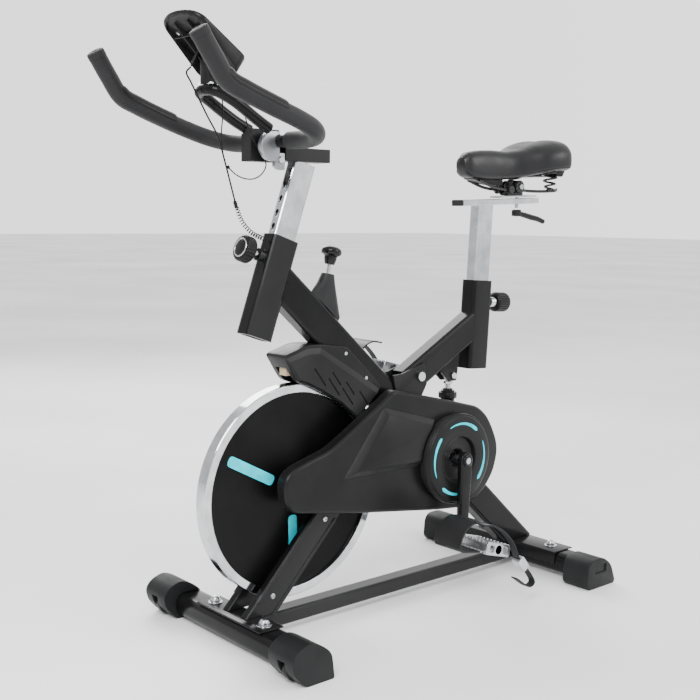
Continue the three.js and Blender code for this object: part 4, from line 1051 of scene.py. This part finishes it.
def fork_details():
    """Raised lips along each fork leg and the screws through them."""
    foot, run = Vector((-290, 55.2)), Vector((0.689, 0.725))
    across = Vector((-run.y, run.x))
    for side, word in SIDES:
        for k, offset in enumerate((-22.5, 22.5)):
            start, end = foot + run * 14 + across * offset, foot + run * 236 + across * offset
            beam(f"fork_lip_{word}_{k}", tuple(start), tuple(end), 3, 7, 1.4, "black_paint", "frame",
                 x=side * 39)
        for k, spot in enumerate(((-264, 88), (-137, 215))):
            screw(f"fork_screw_{word}_{k}", P(side * 38.2, *spot), (side, 0, 0), 5.5, "frame", height=3)


def shock_details():
    """The star adjuster, lock ring and eye collars of the seat's shock."""
    y, _ = SHOCK_EYE

    def points(angle, reach):
        return 1.6 * math.cos(8 * angle)

    turned("shock_star", [(-6, 0), (-6, 17), (-4, 18.4), (4, 18.4), (6, 17), (6, 0)], P(0, y, 418), UPWARD,
           "black_plastic", "frame", sides=128, ripple=points)
    turned("shock_ring", [(0, 0), (0, 9), (1, 10), (5, 10), (6, 9), (6, 0)], P(0, y, 442), UPWARD,
           "chrome", "shock_rod", sides=6)
    for side, word in SIDES:
        turned("shock_nut_" + word, [(0, 0), (0, 8), (5, 8), (7, 6), (7, 0)], P(side * 14.2, *SHOCK_EYE),
               (side, 0, 0), "chrome", "shock_rod", sides=6)


# ------------------------------------------------------------ cords
CONSOLE_WIRE = [
    (-20, -399.5, 1056), (-19, -409, 1046), (-12, -405, 1030), (-4, -400, 1012), (0, -380, 974),
    (0, -357, 938), (0, -343, 897), (0, -330, 855), (0, -320, 822)]
COIL = [(0, -319, 818), (0, -306, 790), (0, -285, 770), (0, -254.5, 757)]
PULSE_LEFT = [
    (14, -352, 1036), (13, -330, 1022), (10, -312, 996), (6, -295, 955), (3, -270, 918),
    (0, -252, 893), (0, -262, 876), (0, -280, 867), (0, -300, 867), (0, -318, 873), (0, -334, 884)]
PULSE_RIGHT = [(-12, -354, 1036), (-12, -343, 1018), (-9, -340, 985), (-5, -346, 950), (-3, -348, 920)]


def cable(name, route, diameter, nodes):
    """A free cable along its route."""
    line = curve_through([P(*p) for p in route], 90)
    made = tube(name, line, diameter / 2, "cord", "handlebar", sides=12, nodes=nodes, sharp=60)


def collar(name, at, direction, radius, half):
    """A small moulded sleeve where cables join."""
    profile = [(-half, 0), (-half, radius * 0.7), (-half * 0.7, radius), (half * 0.7, radius),
               (half, radius * 0.7), (half, 0)]
    return turned(name, profile, P(*at), direction, "cord", "handlebar", sides=20)


def coil():
    """The coiled cord from the post down to the frame, left on no body, with its transform baked into its
    mesh.
    """
    turns, pitch_points, radius, thickness = 17, 20, 3.6, 0.0018
    centre = curve_through([P(*p) for p in COIL], turns * pitch_points)
    line = []
    for i, (spot, u, v) in enumerate(frames_along(centre)):
        ease = min(1, i / 14, (len(centre) - 1 - i) / 14)
        angle = 2 * math.pi * i / pitch_points
        line.append(spot + (u * math.cos(angle) + v * math.sin(angle)) * radius * ease / 1000)
    made = tube("coil_cord_skin", line, thickness / 2, "cord", None, sides=8, nodes=["coil_cord"], sharp=60)
    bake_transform(made)


def cords():
    """The console wire, the two pulse wires with their ties, and the coiled cord."""
    joiner = collar("cable_joiner", (0, -319.6, 820), (0, 0.3, -0.95), 3.4, 7)
    tie_left = collar("cable_tie_left", (0, -335, 886), (0, -0.3, 0.95), 2.6, 3)
    tie_right = collar("cable_tie_right", (-2.4, -348, 919), UPWARD, 2.4, 3)
    cable("console_wire_skin", CONSOLE_WIRE, 0.0032, ["console_wire"])
    cable("pulse_wire_skin_left", PULSE_LEFT, 0.0024, ["pulse_wire_left"])
    cable("pulse_wire_skin_right", PULSE_RIGHT, 0.0024, ["pulse_wire_right"])
    coil()


# ------------------------------------------------------------ CAD nodes that stay, with finished materials
def dress_frame():
    """Gives each CAD node that stays visible the finished material of its slot."""
    slot_of = {entry["node"]: entry["material_slot"] for entry in frame["record"]["subparts"]}
    for name, made in frame["nodes"].items():
        made.data.materials.clear()
        made.data.materials.append(LOOKS[slot_of[name]])


# ------------------------------------------------------------ studio
# a direction, the facings where its glow starts and is full, and its strength
GLOWS = (
    ((-0.756, 0.655, 0.0), 0.5, 0.85, 1.0), ((0.7, 0.7, 0.15), 0.1, 0.95, 0.7), ((0, 0, 1), 0.6, 1.0, 0.5))
AMBIENT = 0.9
# name, place in metres, width in metres and power in watts; all face the bike's middle
LAMPS = (
    ("key", (2.2, -3.0, 3.6), 2.4, 260), ("rim", (-3.0, 1.0, 2.6), 2.0, 90),
    ("fill", (3.4, 2.2, 2.4), 1.6, 60))
FLOOR_REACH = 40


def studio():
    """The pale floor, the soft surroundings and three soft lamps."""
    floor = bpy.data.meshes.new("floor")
    corners = [(x * FLOOR_REACH, y * FLOOR_REACH, 0) for x, y in SQUARE]
    floor.from_pydata(corners, [], [(0, 1, 2, 3)])
    ground = bpy.data.objects.new("floor", floor)
    bpy.context.scene.collection.objects.link(ground)
    floor.materials.append(finish_material("studio_floor", (0.97, 0.97, 0.97), (0.55, 0.6), patch=1))
    world = bpy.data.worlds.new("studio")
    bpy.context.scene.world = world
    world.use_nodes = True
    tree = world.node_tree
    backdrop = tree.nodes["Background"]
    backdrop.inputs["Color"].default_value = (1, 1, 1, 1)
    direction = tree.nodes.new("ShaderNodeTexCoord").outputs["Generated"]
    total = None
    for way, low, high, strength in GLOWS:
        facing = tree.nodes.new("ShaderNodeVectorMath")
        facing.operation = "DOT_PRODUCT"
        facing.inputs[1].default_value = way
        tree.links.new(direction, facing.inputs[0])
        add = tree.nodes.new("ShaderNodeMath")
        add.operation = "ADD"
        add.inputs[1].default_value = AMBIENT
        tree.links.new(remap(tree, facing.outputs["Value"], low, high, 0, strength), add.inputs[0])
        if total:
            tree.links.new(total, add.inputs[1])
        total = add.outputs["Value"]
    tree.links.new(total, backdrop.inputs["Strength"])
    for name, place, size, power in LAMPS:
        data = bpy.data.lights.new(name, "AREA")
        data.size = size
        data.energy = power
        lamp = bpy.data.objects.new(name, data)
        lamp.location = place
        aim = Vector((0, 0, 0.5)) - lamp.location
        lamp.rotation_euler = aim.to_track_quat("-Z", "Y").to_euler()
        bpy.context.scene.collection.objects.link(lamp)


def camera():
    """The camera on the bike's front left, turned by its azimuth, height and roll in degrees."""
    data = bpy.data.cameras.new("camera")
    data.lens = CAMERA_LENS
    data.sensor_width = 36
    azimuth, height, roll = (math.radians(a) for a in (CAMERA_AZIMUTH, CAMERA_HEIGHT, CAMERA_ROLL))
    back = Vector((math.sin(azimuth) * math.cos(height), -math.cos(azimuth) * math.cos(height),
                   math.sin(height)))
    level = Vector((math.cos(azimuth), math.sin(azimuth), 0))
    upright = back.cross(level)
    right = level * math.cos(roll) + upright * math.sin(roll)
    up = upright * math.cos(roll) - level * math.sin(roll)
    made = bpy.data.objects.new("camera", data)
    turn = Matrix((right, up, back)).transposed().to_4x4()
    made.matrix_world = Matrix.Translation(CAMERA_PLACE) @ turn
    bpy.context.scene.collection.objects.link(made)
    bpy.context.scene.camera = made


camera()
dress_frame()
cords()
base()
flywheel()
cover()
crank_disc()
crank_arms()
for word, side, down in CRANKS:
    pedal(word, side, down)
    toe_clip(word, side, down)
shroud()
brake_knob_and_rod()
locking_knob("head_knob", HEAD_KNOB, HEAD_KNOB_OUT, 25, 20, "head_knob")
locking_knob("seat_knob", SEAT_KNOB, SEAT_KNOB_OUT, 22, 34, "seat_knob")
handlebar()
console()
stem()
post_holes()
fork_details()
shock_details()
saddle()
saddle_clamp()
clamp_lever()
studio()
